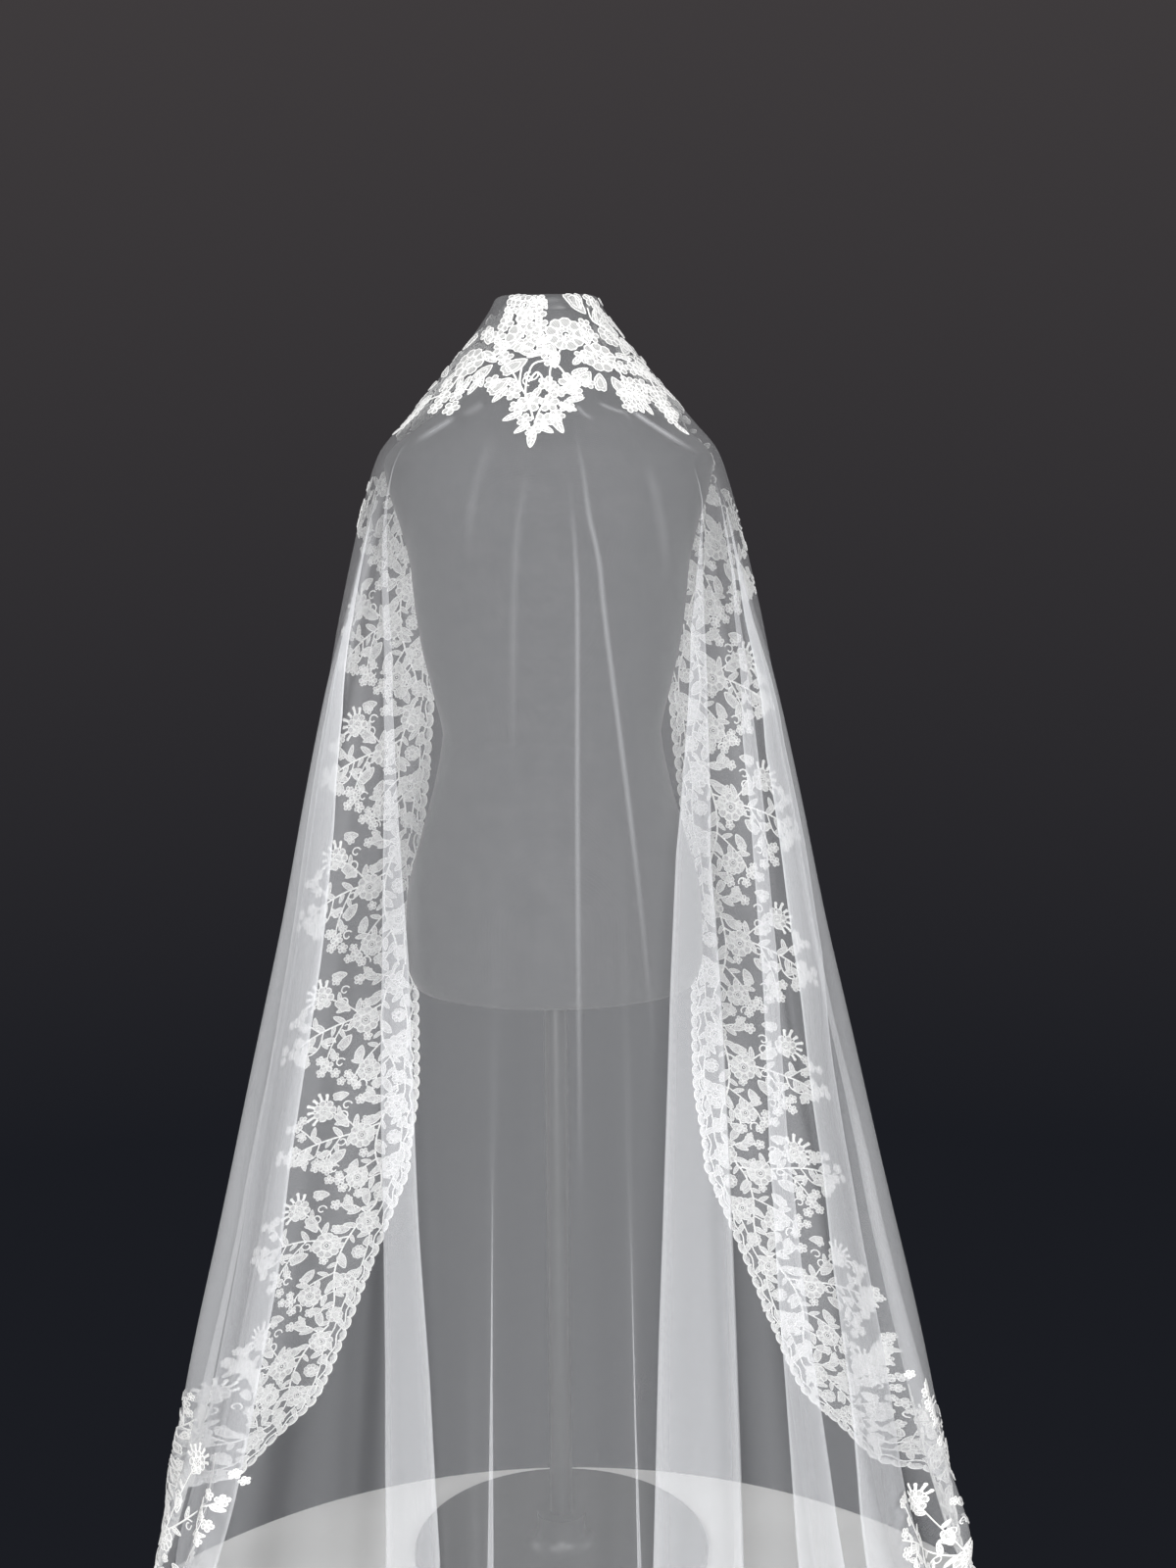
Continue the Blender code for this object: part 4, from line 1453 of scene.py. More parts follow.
@dataclass
class LaceWork:
    """Gathers placed motifs and laid cords into one piece."""

    name: str
    drape: Drape
    above: float = 0.9 * MM
    nearest_fall: float = 0.012
    most_stretch: float = 1.7
    most_squeeze: float = 1.6 * 1.7
    rim_points: int = 60
    shortest_span: float = 3 * MM
    shortest_step: float = 0.5 * MM
    sewn: Gathering = field(default_factory=Gathering)

    @staticmethod
    def spread(art: Art, turns: Array, sizes: Array) -> Array:
        """The flat points of each turned and enlarged copy of a motif."""
        c, s = np.cos(turns), np.sin(turns)
        turned = np.stack([np.stack([c, -s], -1), np.stack([s, c], -1)], -2) * sizes[:, None, None]
        return np.einsum("njk,mk->nmj", turned, art[0][:, :2])

    def lay(self, art: Art, named: Array, flat: Array, mirrored: bool) -> None:
        """Lays copies of a motif whose every point is named by place and fall.

        Args:
            art: The motif's points, triangles and finishes.
            named: Place and fall of each copy's points.
            flat: Their flat coordinates.
            mirrored: Whether the copies are left-handed as seen from outside.
        """
        heights = np.broadcast_to(self.above + art[0][None, :, 2], named.shape[:2])
        falls = np.maximum(named[..., 1].ravel(), self.nearest_fall)
        points = self.drape.points(named[..., 0].ravel(), falls, heights.ravel())
        points = points.reshape(*named.shape[:2], 3)
        inside = self.unfolded(art, points, flat)
        points, flat = points[inside], flat[inside]
        copies = art[1][None] + (np.arange(len(points)) * len(art[0]))[:, None, None]
        copies = copies.reshape(-1, 3)
        if mirrored:
            copies = copies[:, [0, 2, 1]]
        self.sewn.add(points.reshape(-1, 3), copies, np.tile(art[2], len(points)), flat.reshape(-1, 2))

    def unfolded(self, art: Art, points: Array, flat: Array) -> Array:
        """Whether each copy lies clear of the folds, which would swallow or stretch it.

        Args:
            art: The motif's points, triangles and finishes.
            points: Each copy's points in space.
            flat: Their flat coordinates.

        Returns:
            One truth value for each copy.
        """
        reach = art[0][:, :2] - art[0][:, :2].mean(axis=0)
        furthest = np.argsort(-np.linalg.norm(reach, axis=1))[: self.rim_points]
        rim = np.concatenate([furthest, np.argmax(np.abs(reach), axis=0)])
        near = np.roll(rim, len(rim) // 2)
        real = np.linalg.norm(points[:, rim] - points[:, near], axis=-1)
        drawn = np.linalg.norm(flat[:, rim] - flat[:, near], axis=-1)
        ratio = np.where(drawn > self.shortest_span, real / np.maximum(drawn, MM), 1.0)
        return (ratio.max(axis=1) < self.most_stretch) & (ratio.min(axis=1) > 1 / self.most_squeeze)

    def lay_cords(self, lines: Array, width: float, rise: float) -> None:
        """Lays raised cords on the cloth.

        Args:
            lines: Place and fall along each cord, all with as many points.
            width: The cords' width.
            rise: The cords' height.
        """
        number, count, _ = lines.shape
        middle = self.drape.points(lines[..., 0], lines[..., 1], np.full(lines.shape[:2], self.above))
        normal = self.drape.outward(lines[..., 0], lines[..., 1])
        way = units(np.gradient(middle, axis=1))
        left = units(np.cross(normal, way)) * width / 2
        rows = np.stack([middle + left, middle + normal * rise, middle - left], axis=1)
        rows[..., 2] = np.maximum(rows[..., 2], self.drape.lowest)
        run = np.cumsum(np.linalg.norm(np.diff(middle, axis=1, prepend=middle[:, :1]), axis=-1), axis=1)
        flat = np.stack([np.stack([run, np.full_like(run, side * width)], -1) for side in (1, 0, -1)], axis=1)
        steps = np.linalg.norm(np.diff(middle, axis=1), axis=-1)
        usual = np.maximum(np.median(steps, axis=1, keepdims=True), self.shortest_step)
        sound = steps < self.most_stretch * usual
        sound = sound & np.roll(sound, 1, axis=1) & np.roll(sound, -1, axis=1)
        faces = grid_faces(point_grid(3 * number, count).reshape(number, 3, count))
        faces = faces[np.tile(np.stack([sound, sound], axis=1).ravel(), 2)]
        self.sewn.add(rows.reshape(-1, 3), faces, np.zeros(len(faces), int), flat.reshape(-1, 2))

    def build(self, finishes: list[Material], node: str) -> Object:
        """Makes the piece, which stands for a packed wall of lace.

        Args:
            finishes: Cord and fill.
            node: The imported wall.

        Returns:
            The piece.
        """
        points, faces, kinds, flat = self.sewn.arrays()
        piece = mesh_piece(self.name, points, faces, finishes, kinds, flat)
        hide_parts(node)
        LOG.info("%s: %d triangles", self.name, len(faces))
        return piece


@dataclass
class BorderLine:
    """The veil's free edge as one line, from the front of the crown to the middle of the hem.

    Attributes:
        side: 1 for the edge at +X and -1 for the other.
        step: The way between two points of it.
        smoothing: How far its direction is evened out along it.
        probe: How far off the direction is measured.
    """

    drape: Drape
    side: float
    step: float = 0.004
    front_points: int = 40
    side_points: int = 200
    hem_points: int = 400
    smoothing: float = 0.055
    probe: float = 0.003

    def __post_init__(self) -> None:
        """Measures the line."""
        drape, side = self.drape, self.side
        front = np.linspace(drape.front_place, 1, self.front_points)[:-1]
        corner = float(drape.fall_to(HEM[-1][1]))
        down = np.linspace(drape.collar, corner, self.side_points)
        hem = np.linspace(1, 0, self.hem_points)[1:]
        place = np.concatenate([front, np.ones_like(down), hem])
        low = drape.fall_to(drape.hem_height(hem))
        fall = np.concatenate([drape.collar * drape.front_reach(front), down, low])
        points = drape.points(place * side, fall, 0.0, False)
        length = run_along(points)
        self.length = float(length[-1])
        self.axis = np.arange(0, self.length, self.step)
        self.place = np.interp(self.axis, length, place) * side
        self.fall = np.interp(self.axis, length, fall)
        self.side_start = float(length[len(front)])
        self.measure_inward()

    def measure_inward(self) -> None:
        """Works out which way leads into the cloth from each point of the line."""
        points = self.drape.points(self.place, self.fall, 0.0, False)
        normal = self.drape.outward(self.place, self.fall, False)
        inward = units(np.cross(units(np.gradient(points, axis=0)), normal)) * self.side
        by_place, by_fall = self.drape.slopes(self.place, self.fall, False)
        named = (np.linalg.pinv(np.stack([by_place, by_fall], -1)) @ inward[..., None])[..., 0]
        reach = int(self.smoothing / self.step)
        window = np.hanning(2 * reach + 1)
        window /= window.sum()
        held = np.pad(named, ((reach, reach), (0, 0)), mode="edge")
        self.inward = np.stack([np.convolve(held[:, k], window, mode="valid") for k in range(2)], -1)

    def named(self, spots: Array) -> Array:
        """Finds where on the cloth these spots of the border are.

        Args:
            spots: The way of each along the edge and into the cloth.

        Returns:
            Place and fall of each.
        """
        along, inward = spots[..., 0], spots[..., 1]
        by_place, by_fall = self.inward.T
        place = np.interp(along, self.axis, self.place) + inward * np.interp(along, self.axis, by_place)
        fall = np.interp(along, self.axis, self.fall) + inward * np.interp(along, self.axis, by_fall)
        return np.stack([place, fall], -1)

    def directions(self, spots: Array) -> Pair:
        """The directions along the edge and into the cloth, in space.

        Args:
            spots: The way of each along the edge and into the cloth.

        Returns:
            The two directions at each spot.
        """
        steps = self.probe * np.array([[-1, 0], [1, 0], [0, -1], [0, 1]])
        ends = [self.named(spots + step) for step in steps]
        low, high, near, far = (self.drape.points(end[..., 0], end[..., 1], 0.0, False) for end in ends)
        inside = units(far - near)
        run = high - low
        run = run - inside * (run * inside).sum(-1, keepdims=True)
        return units(run), inside

    def along_at_height(self, height: float) -> float:
        """The way along the line to where its hanging part passes this height."""
        heights = self.drape.read("height", self.fall)
        hanging = self.axis > self.side_start
        return float(np.interp(-height, -heights[hanging], self.axis[hanging]))


@dataclass(frozen=True)
class Sprig:
    """One repeat of the border, in millimetres along the edge and into the cloth.

    Stems are lines. The other tables give two places, a size and, with four columns, a turn in degrees.

    Attributes:
        leaf_sizes: The least size of a leaf on a stem, and how much more it can have.
        runner: The middle and the swing of the waved cord inside the scallops.
        sizes: The least and the most that chance enlarges a motif.
    """

    length: float = 168.0
    stems: tuple[Rows, ...] = (
        ((0, 26), (28, 38), (62, 46), (98, 44), (136, 30), (168, 26)),
        ((48, 43), (60, 70), (70, 104), (82, 136), (94, 158)),
        ((60, 70), (44, 88), (33, 108), (30, 122)),
        ((66, 92), (88, 104), (108, 112), (124, 114)),
        ((76, 122), (62, 138), (54, 150)),
        ((14, 32), (8, 52), (12, 70)),
        ((98, 44), (116, 62), (134, 76), (146, 80)),
        ((122, 36), (138, 50), (156, 54)),
        ((82, 136), (98, 138), (108, 144)),
        ((76, 118), (96, 124), (104, 136), (98, 146), (86, 144)),
        ((0, 17), (30, 20), (60, 15), (95, 14), (130, 18), (168, 17)),
    )
    roses: Rows = (
        (66, 66, 1.05), (136, 62, 0.92), (24, 28, 0.88), (108, 26, 0.86), (152, 24, 0.62), (66, 25, 0.58),
    )
    fans: Rows = ((30, 118, 1.0, 112.0),)
    petals: Rows = (
        (52, 86, 1, 128), (84, 84, 1, 48), (100, 70, 0.9, 20), (14, 50, 0.9, 112), (38, 46, 0.9, 64),
        (4, 36, 0.8, 150), (122, 46, 0.8, 215), (150, 40, 0.8, 60), (90, 34, 0.8, 135), (40, 14, 0.7, 20),
        (128, 12, 0.7, 160), (84, 12, 0.7, 10), (2, 88, 0.8, 80),
    )
    curls: Rows = (
        (94, 104, 1.1, 100), (44, 92, 1, 170), (118, 92, 1, 60), (160, 66, 1, 120), (20, 84, 1, 70),
        (76, 96, 0.9, 240),
    )
    blossoms: Rows = (
        (96, 162, 1), (86, 173, 0.85), (105, 151, 1), (83, 153, 0.95), (99, 177, 0.7), (113, 141, 0.9),
        (124, 113, 1.05), (135, 104, 0.9), (133, 121, 0.85), (115, 123, 0.85), (112, 104, 0.8),
        (54, 152, 1), (45, 145, 0.85), (53, 164, 0.75), (66, 142, 0.8), (12, 74, 0.9), (148, 84, 1),
        (158, 77, 0.85), (150, 96, 0.8), (139, 88, 0.75), (158, 54, 0.85), (88, 62, 0.8), (116, 76, 0.8),
        (44, 64, 0.8), (2, 62, 0.75), (8, 100, 0.8),
    )
    upper_reach: float = 0.72
    full_reach_fall: Two = (0.34, 0.95)
    shoulder_clear: float = 0.048
    shoulder_fall: float = 0.315
    leaf_step: float = 13.5
    leaf_start: float = 8.0
    leaf_stagger: int = 3
    leaf_end: int = 4
    leaf_ahead: int = 2
    leaf_sizes: Two = (0.66, 0.26)
    leaf_change: float = 2.1
    leaf_sway: float = 0.2
    scallops: int = 10
    runner: Two = (9.0, 2.0)
    runner_points: int = 34
    stem_points: int = 20
    main_stems: int = 2
    wander: float = 1.3
    sway: float = 0.15
    sizes: Two = (0.95, 1.06)
    uneven: float = 0.05


@dataclass(frozen=True)
class CrownSpray:
    """Lace on the crown, in millimetres across and up as it is seen from the back.

    The tables have the columns of a Sprig's, but a leaf's turn stands before its size, and a row of
    blossoms at the front has its way into the cloth, their size and their shift along the edge.
    """

    enlarged: float = 1.17
    stem_points: int = 24
    front_blossoms: Rows = ((20, 0.8, 0.0), (38, 1.25, 0.5), (55, 1.1, 0.0))
    front_turning: float = 5.0
    front_leaves: float = 10.0
    front_leaf_turns: Two = (0.7, 2.4)
    roses: Rows = (
        (-26, 1500, 1.1), (20, 1502, 1.15), (-86, 1472, 1.05), (57, 1477, 1.05), (68, 1500, 0.8),
        (-24, 1533, 0.7), (104, 1462, 0.7),
    )
    petals: Rows = (
        (-22, 1476, 1.15, 215), (-12, 1480, 0.85, 150), (-60, 1470, 1, 235), (-40, 1456, 1.05, 225),
        (-64, 1492, 0.9, 120), (14, 1440, 0.95, 35), (8, 1478, 0.8, 110), (42, 1524, 1.1, 120),
        (56, 1512, 1, 55), (78, 1500, 1, 130), (84, 1480, 1, 40), (98, 1478, 0.9, 100),
        (116, 1462, 0.9, 130), (124, 1446, 0.9, 300), (70, 1456, 0.9, 280), (56, 1460, 0.9, 255),
        (46, 1462, 0.85, 225), (-98, 1486, 0.9, 60), (-112, 1458, 0.9, 160), (-126, 1450, 0.8, 200),
    )
    curls: Rows = (
        (-10, 1462, 1.2, 200), (-20, 1448, 1, 100), (30, 1448, 1, 60), (92, 1470, 1, 30),
        (-78, 1452, 1, 220),
    )
    blossoms: Rows = (
        (-60, 1452, 1.1), (-1, 1450, 1.2), (10, 1442, 1.1), (24, 1452, 1.4), (30, 1440, 1),
        (-20, 1430, 1.55), (1, 1429, 1.4), (-38, 1440, 1.1), (-5, 1411, 1.3), (-34, 1426, 1),
        (-17, 1400, 1), (-26, 1412, 1), (10, 1416, 1), (20, 1426, 1), (-116, 1434, 1.2),
        (-106, 1424, 1.2), (-124, 1424, 1.1), (-112, 1447, 1.1), (-100, 1438, 1.1), (-138, 1428, 1.1),
        (-146, 1419, 1.1), (-154, 1411, 1), (-161, 1404, 0.9), (-66, 1504, 1.1), (-50, 1488, 1.2),
        (-54, 1500, 1.2), (-45, 1514, 1.2), (-8, 1512, 1.1), (-10, 1524, 1.1), (-9, 1538, 1.1),
        (-36, 1541, 1.1), (-40, 1527, 1.1), (-24, 1521, 1.2), (-6, 1498, 1), (-46, 1477, 1.1),
        (88, 1449, 1.2), (95, 1438, 1.2), (84, 1436, 1.1), (103, 1446, 1.2), (89, 1424, 1),
        (106, 1434, 1.1), (118, 1452, 1.1), (114, 1440, 1.1), (125, 1438, 1.1), (122, 1427, 1.1),
        (130, 1418, 1.1), (136, 1409, 1), (128, 1428, 1.1), (138, 1416, 1), (86, 1490, 1.2),
        (80, 1466, 1.1), (38, 1478, 1.1), (44, 1450, 0.9), (62, 1522, 1.1), (46, 1540, 1),
        (54, 1532, 1.1), (72, 1514, 1.1), (94, 1464, 1.2), (110, 1458, 1.2), (48, 1500, 1.1),
        (40, 1512, 1), (-4, 1484, 1.1), (4, 1474, 1),
    )
    leaves: Rows = (
        (-17, 1402, -90, 1.1), (-20, 1408, -140, 0.9), (-12, 1408, -40, 0.9), (3, 1418, -62, 1.3),
        (-28, 1420, -150, 1), (12, 1428, -25, 0.9), (20, 1432, 10, 0.9), (-44, 1446, -120, 1),
        (-74, 1462, -60, 1), (-74, 1456, -100, 1), (-84, 1458, -90, 1), (-94, 1458, -70, 0.9),
        (26, 1460, 20, 0.9), (28, 1470, 45, 0.9), (10, 1484, -100, 1), (-4, 1486, -150, 0.9),
        (-12, 1490, 40, 0.9), (-8, 1546, -60, 0.8), (-42, 1490, 160, 1), (-40, 1516, 120, 1),
        (-70, 1484, -30, 1.2), (-100, 1462, -120, 1), (-96, 1452, -60, 0.9), (-128, 1436, -150, 1),
        (-166, 1400, -150, 0.8), (88, 1440, -85, 1.3), (100, 1432, -80, 1), (139, 1404, -60, 0.8),
        (110, 1470, 20, 1), (84, 1498, 30, 1), (46, 1492, 100, 1), (52, 1514, 60, 0.9),
        (74, 1480, -20, 1), (36, 1530, 80, 1), (-44, 1455, -35, 1), (-8, 1446, -120, 0.9),
        (70, 1540, -20, 0.8), (98, 1500, 50, 0.8),
    )
    stems: tuple[Rows, ...] = (
        ((-25, 1503), (-42, 1488), (-62, 1478), (-86, 1472)),
        ((-86, 1472), (-98, 1456), (-112, 1440), (-134, 1430), (-158, 1406)),
        ((20, 1502), (14, 1486), (3, 1466), (2, 1440), (-10, 1420), (-17, 1398)),
        ((-28, 1468), (-30, 1450), (-22, 1434), (-16, 1412)),
        ((20, 1502), (40, 1494), (57, 1477), (78, 1462), (86, 1440)),
        ((57, 1477), (80, 1476), (103, 1463), (116, 1446), (130, 1414)),
        ((-24, 1536), (-32, 1520), (-25, 1503)),
        ((44, 1530), (50, 1516), (67, 1506), (82, 1490)),
        ((-24, 1432), (-24, 1446), (-21, 1460), (-15, 1471), (-2, 1474), (12, 1468), (24, 1452)),
        ((-21, 1452), (-12, 1462), (-6, 1456), (-8, 1448)),
        ((-62, 1478), (-50, 1474), (-38, 1462), (-30, 1446)),
    )


@dataclass
class LaceBorder:
    """The corded floral lace along the whole edge and over the crown."""

    drape: Drape
    needlework: Needlework = field(default_factory=Needlework)
    bold_needlework: Needlework = Needlework(cord=1.85 * MM, fine_cord=1.35 * MM, rise=0.85 * MM)
    sprig: Sprig = field(default_factory=Sprig)
    crown: CrownSpray = field(default_factory=CrownSpray)
    left_peak_height: float = 1.308
    right_peak_height: float = 1.235
    peak_along: float = 92.0
    stem_width: float = 2.2 * MM
    stem_rise: float = 1.0 * MM
    thin_stem: float = 0.8
    leaf_lean: float = 52.0
    edge_inset: float = 5.0 * MM
    angle_step: float = 0.02
    least_radius: float = 0.02
    seed: int = 7

    def build(self, outside: list[Material], inside: list[Material]) -> Pieces:
        """Makes the pieces of lace.

        Args:
            outside: Cord and fill of the crown's lace, which is seen from outside.
            inside: Cord and fill of the lace seen from the cloth's inner side, painted lighter against the
                tulle's shade.

        Returns:
            The pieces.
        """
        self.art = {motif: self.bold_needlework.draw(motif) for motif in Motif}
        self.crown_art = {motif: self.needlework.draw(motif) for motif in Motif}
        self.chance = np.random.default_rng(self.seed)
        crown = LaceWork("crown_lace", self.drape)
        self.crown_back(crown)
        made = []
        edges = ((-1.0, "left", self.left_peak_height), (1.0, "right", self.right_peak_height))
        for side, word, peak in edges:
            line = BorderLine(self.drape, side)
            corner = line.along_at_height(HEM[-1][1])
            repeat = self.sprig.length * MM
            first = line.along_at_height(peak) - self.peak_along * MM
            first -= repeat * math.ceil((first - line.side_start) / repeat)
            upper = np.arange(first, corner - 0.5 * repeat, repeat)
            left = line.length - (upper[-1] + repeat)
            pitch = left / round(left / repeat)
            hem = upper[-1] + repeat + pitch * np.arange(round(left / repeat))
            for part, starts, ratio in (("", upper, 1.0), ("hem_", hem, pitch / repeat)):
                work = LaceWork(f"{part}{word}_lace", self.drape)
                self.sprigs(work, line, starts, ratio)
                made.append(work.build(inside, "lace_hem" if part else f"lace_{word}"))
            self.crown_front(crown, line)
            LOG.info("%s edge: %.2f m, %d and %d repeats", word, line.length, len(upper), len(hem))
        return [crown.build(outside, "lace_crown"), *made]

    def along_edge(
        self,
        work: LaceWork,
        line: BorderLine,
        motif: Motif,
        spots: Array,
        turns: Array,
        sizes: Array,
    ) -> None:
        """Lays copies of a motif on the border.

        Args:
            work: Gathers them.
            line: The edge.
            motif: Their kind.
            spots: The way of each along the edge and into the cloth.
            turns: How far each is turned.
            sizes: How much each is enlarged.
        """
        shown = self.shown(line, spots)
        spots, turns, sizes = spots[shown], turns[shown], sizes[shown]
        named = line.named(spots)
        slope = np.stack(self.drape.slopes(named[:, 0], named[:, 1], False), -1)
        to_cloth = np.linalg.pinv(slope) @ np.stack(line.directions(spots), -1)
        flat = work.spread(self.art[motif], turns, sizes)
        named = named[:, None, :] + np.einsum("nij,nmj->nmi", to_cloth, flat)
        work.lay(self.art[motif], named, flat, line.side > 0)

    def shown(self, line: BorderLine, spots: Array) -> Array:
        """Whether each spot bears lace: near the shoulder only a narrow edge does."""
        fall = line.named(spots)[..., 1]
        return (spots[..., 1] < self.sprig.shoulder_clear) | (fall > self.sprig.shoulder_fall)

    def sprigs(self, work: LaceWork, line: BorderLine, starts: Array, ratio: float) -> None:
        """Lays repeats of the border.

        Args:
            work: Gathers them.
            line: The edge.
            starts: Where along the edge each begins.
            ratio: How much longer each is than drawn, so that they end at the middle of the hem.
        """
        sprig = self.sprig
        count = len(starts)
        origin = np.stack([starts, np.zeros(count)], -1)
        fall = line.named(origin + (0.5 * ratio * sprig.length * MM, 0))[:, 1]
        low, high = sprig.full_reach_fall
        reach = sprig.upper_reach + (1 - sprig.upper_reach) * smooth_step((fall - low) / (high - low))
        reach = reach * (1 + sprig.uneven * self.chance.uniform(-1, 1, count))
        stretch = np.stack([np.full(count, ratio), reach], -1)

        def spots(rows: Array) -> Array:
            """The rows of one table in every repeat."""
            flat = np.asarray(rows, float)[:, :2] * MM
            return (origin[:, None] + flat[None] * stretch[:, None]).reshape(-1, 2)

        for motif, rows in (
            (Motif.ROSE, sprig.roses),
            (Motif.BLOSSOM, sprig.blossoms),
            (Motif.FAN, sprig.fans),
            (Motif.PETAL, sprig.petals),
            (Motif.CURL, sprig.curls),
        ):
            table = np.asarray(rows, float)
            number = count * len(table)
            wander = self.chance.uniform(-1, 1, (number, 2)) * sprig.wander * MM
            turns = self.chance.uniform(0, 2 * math.pi, number)
            if table.shape[1] > 3:
                sway = self.chance.uniform(-sprig.sway, sprig.sway, number)
                turns = np.tile(np.radians(table[:, 3]), count) + sway
            sizes = np.tile(table[:, 2], count) * self.chance.uniform(*sprig.sizes, number)
            self.along_edge(work, line, motif, spots(table) + wander, turns, sizes)
        for k, stem in enumerate(sprig.stems):
            path = smooth_line(np.asarray(stem, float), sprig.stem_points)
            placed = spots(path).reshape(count, -1, 2)
            named = line.named(placed)
            shown = self.shown(line, placed).all(axis=1)
            width = self.stem_width * (1.0 if k < sprig.main_stems else self.thin_stem)
            work.lay_cords(named[shown], width, self.stem_rise)
            self.stem_leaves(work, line, spots, path, k, count)
        pitch = sprig.length / sprig.scallops
        edge = np.array([[pitch * (k + 0.5), self.edge_inset / MM] for k in range(sprig.scallops)])
        zeros = np.zeros(count * len(edge))
        self.along_edge(work, line, Motif.SCALLOP, spots(edge), zeros, zeros + 1)
        share = np.linspace(0, 1, sprig.runner_points)
        middle, swing = sprig.runner
        waved = middle + swing * np.sin(share * sprig.scallops * math.pi)
        runner = np.stack([sprig.length * share, waved], -1)
        placed = spots(runner).reshape(count, -1, 2)
        width = self.stem_width * self.thin_stem
        work.lay_cords(line.named(placed), width, self.stem_rise)

    def stem_leaves(
        self,
        work: LaceWork,
        line: BorderLine,
        spots: Callable[[Array], Array],
        path: Array,
        number: int,
        count: int,
    ) -> None:
        """Lays leaves by turns to the left and right of a stem.

        Args:
            work: Gathers them.
            line: The edge.
            spots: Puts a repeat's points in every repeat.
            path: The stem.
            number: Which stem it is.
            count: How many repeats there are.
        """
        sprig = self.sprig
        length = run_along(path)
        first = sprig.leaf_start + sprig.leaf_stagger * (number % 2)
        at = np.arange(first, length[-1] - sprig.leaf_end, sprig.leaf_step)
        x, y = np.interp(at, length, path[:, 0]), np.interp(at, length, path[:, 1])
        next_at = at + sprig.leaf_ahead
        ahead_x, ahead_y = np.interp(next_at, length, path[:, 0]), np.interp(next_at, length, path[:, 1])
        hands = np.where((np.arange(len(at)) + number) % 2 == 0, 1.0, -1.0)
        turns = np.arctan2(ahead_y - y, ahead_x - x) + hands * math.radians(self.leaf_lean)
        least, more = sprig.leaf_sizes
        sizes = least + more * np.abs(np.sin(np.arange(len(at)) * sprig.leaf_change + number))
        placed = spots(np.stack([x, y], -1))
        sway = self.chance.uniform(-sprig.leaf_sway, sprig.leaf_sway, count * len(at))
        turns = np.tile(turns, count) + sway
        self.along_edge(work, line, Motif.LEAF, placed, turns, np.tile(sizes, count))

    def crown_front(self, work: LaceWork, line: BorderLine) -> None:
        """Lays a narrow border across the front of the crown.

        Args:
            work: Gathers them.
            line: The edge.
        """
        pitch = self.needlework.scallop_width
        along = np.arange(0.5 * pitch, line.side_start, pitch)
        zeros = np.zeros(len(along))
        edge = np.stack([along, zeros + 0.5 * self.edge_inset], -1)
        self.along_edge(work, line, Motif.SCALLOP, edge, zeros, zeros + 1)
        spray = self.crown
        turns = np.linspace(0, spray.front_turning, len(along))
        for inward, size, shift in spray.front_blossoms:
            spots = np.stack([along + shift * pitch, zeros + inward * MM], -1)
            self.along_edge(work, line, Motif.BLOSSOM, spots, turns, zeros + size)
        spots = np.stack([along, zeros + spray.front_leaves * MM], -1)
        turns = np.where(np.arange(len(along)) % 2 == 0, *spray.front_leaf_turns)
        self.along_edge(work, line, Motif.LEAF, spots, turns, zeros + 1.0)

    def crown_back(self, work: LaceWork) -> None:
        """Lays the sprays that hang over the crown at the back.

        Args:
            work: Gathers them.
        """
        spray = self.crown
        for motif, rows in (
            (Motif.ROSE, spray.roses),
            (Motif.BLOSSOM, spray.blossoms),
            (Motif.PETAL, spray.petals),
            (Motif.CURL, spray.curls),
        ):
            table = np.asarray(rows, float)
            turns = self.chance.uniform(0, 2 * math.pi, len(table))
            if table.shape[1] > 3:
                turns = np.radians(table[:, 3])
            self.on_crown(work, motif, table[:, :2] * MM, turns, table[:, 2])
        leaves = np.asarray(spray.leaves, float)
        self.on_crown(work, Motif.LEAF, leaves[:, :2] * MM, np.radians(leaves[:, 2]), leaves[:, 3])
        for stem in spray.stems:
            angle, fall = self.drape.back_spot(smooth_line(np.asarray(stem, float) * MM, spray.stem_points))
            named = np.stack([self.drape.place_at(angle, fall), fall], -1)
            work.lay_cords(named[None], self.stem_width, self.stem_rise)

    def on_crown(self, work: LaceWork, motif: Motif, seen: Array, turns: Array, sizes: Array) -> None:
        """Lays copies of a motif on the crown.

        Args:
            work: Gathers them.
            motif: Their kind.
            seen: The x and height of each, at the back.
            turns: How far each is turned.
            sizes: How much each is enlarged.
        """
        art = self.crown_art[motif]
        flat = work.spread(art, turns, sizes * self.crown.enlarged)
        middle, fall = self.drape.back_spot(seen)
        falls = np.maximum(fall[:, None] - flat[..., 1], work.nearest_fall)
        ring = {name: self.drape.read(name, falls) for name in RING_COLUMNS}
        step = self.angle_step
        ahead = self.drape.oval(middle[:, None] + step, ring)
        behind = self.drape.oval(middle[:, None] - step, ring)
        reach = np.hypot(ahead[0] - behind[0], ahead[1] - behind[1]) / (2 * step)
        angles = middle[:, None] + flat[..., 0] / np.maximum(reach, self.least_radius)
        work.lay(art, np.stack([self.drape.place_at(angles, falls), falls], -1), flat, False)


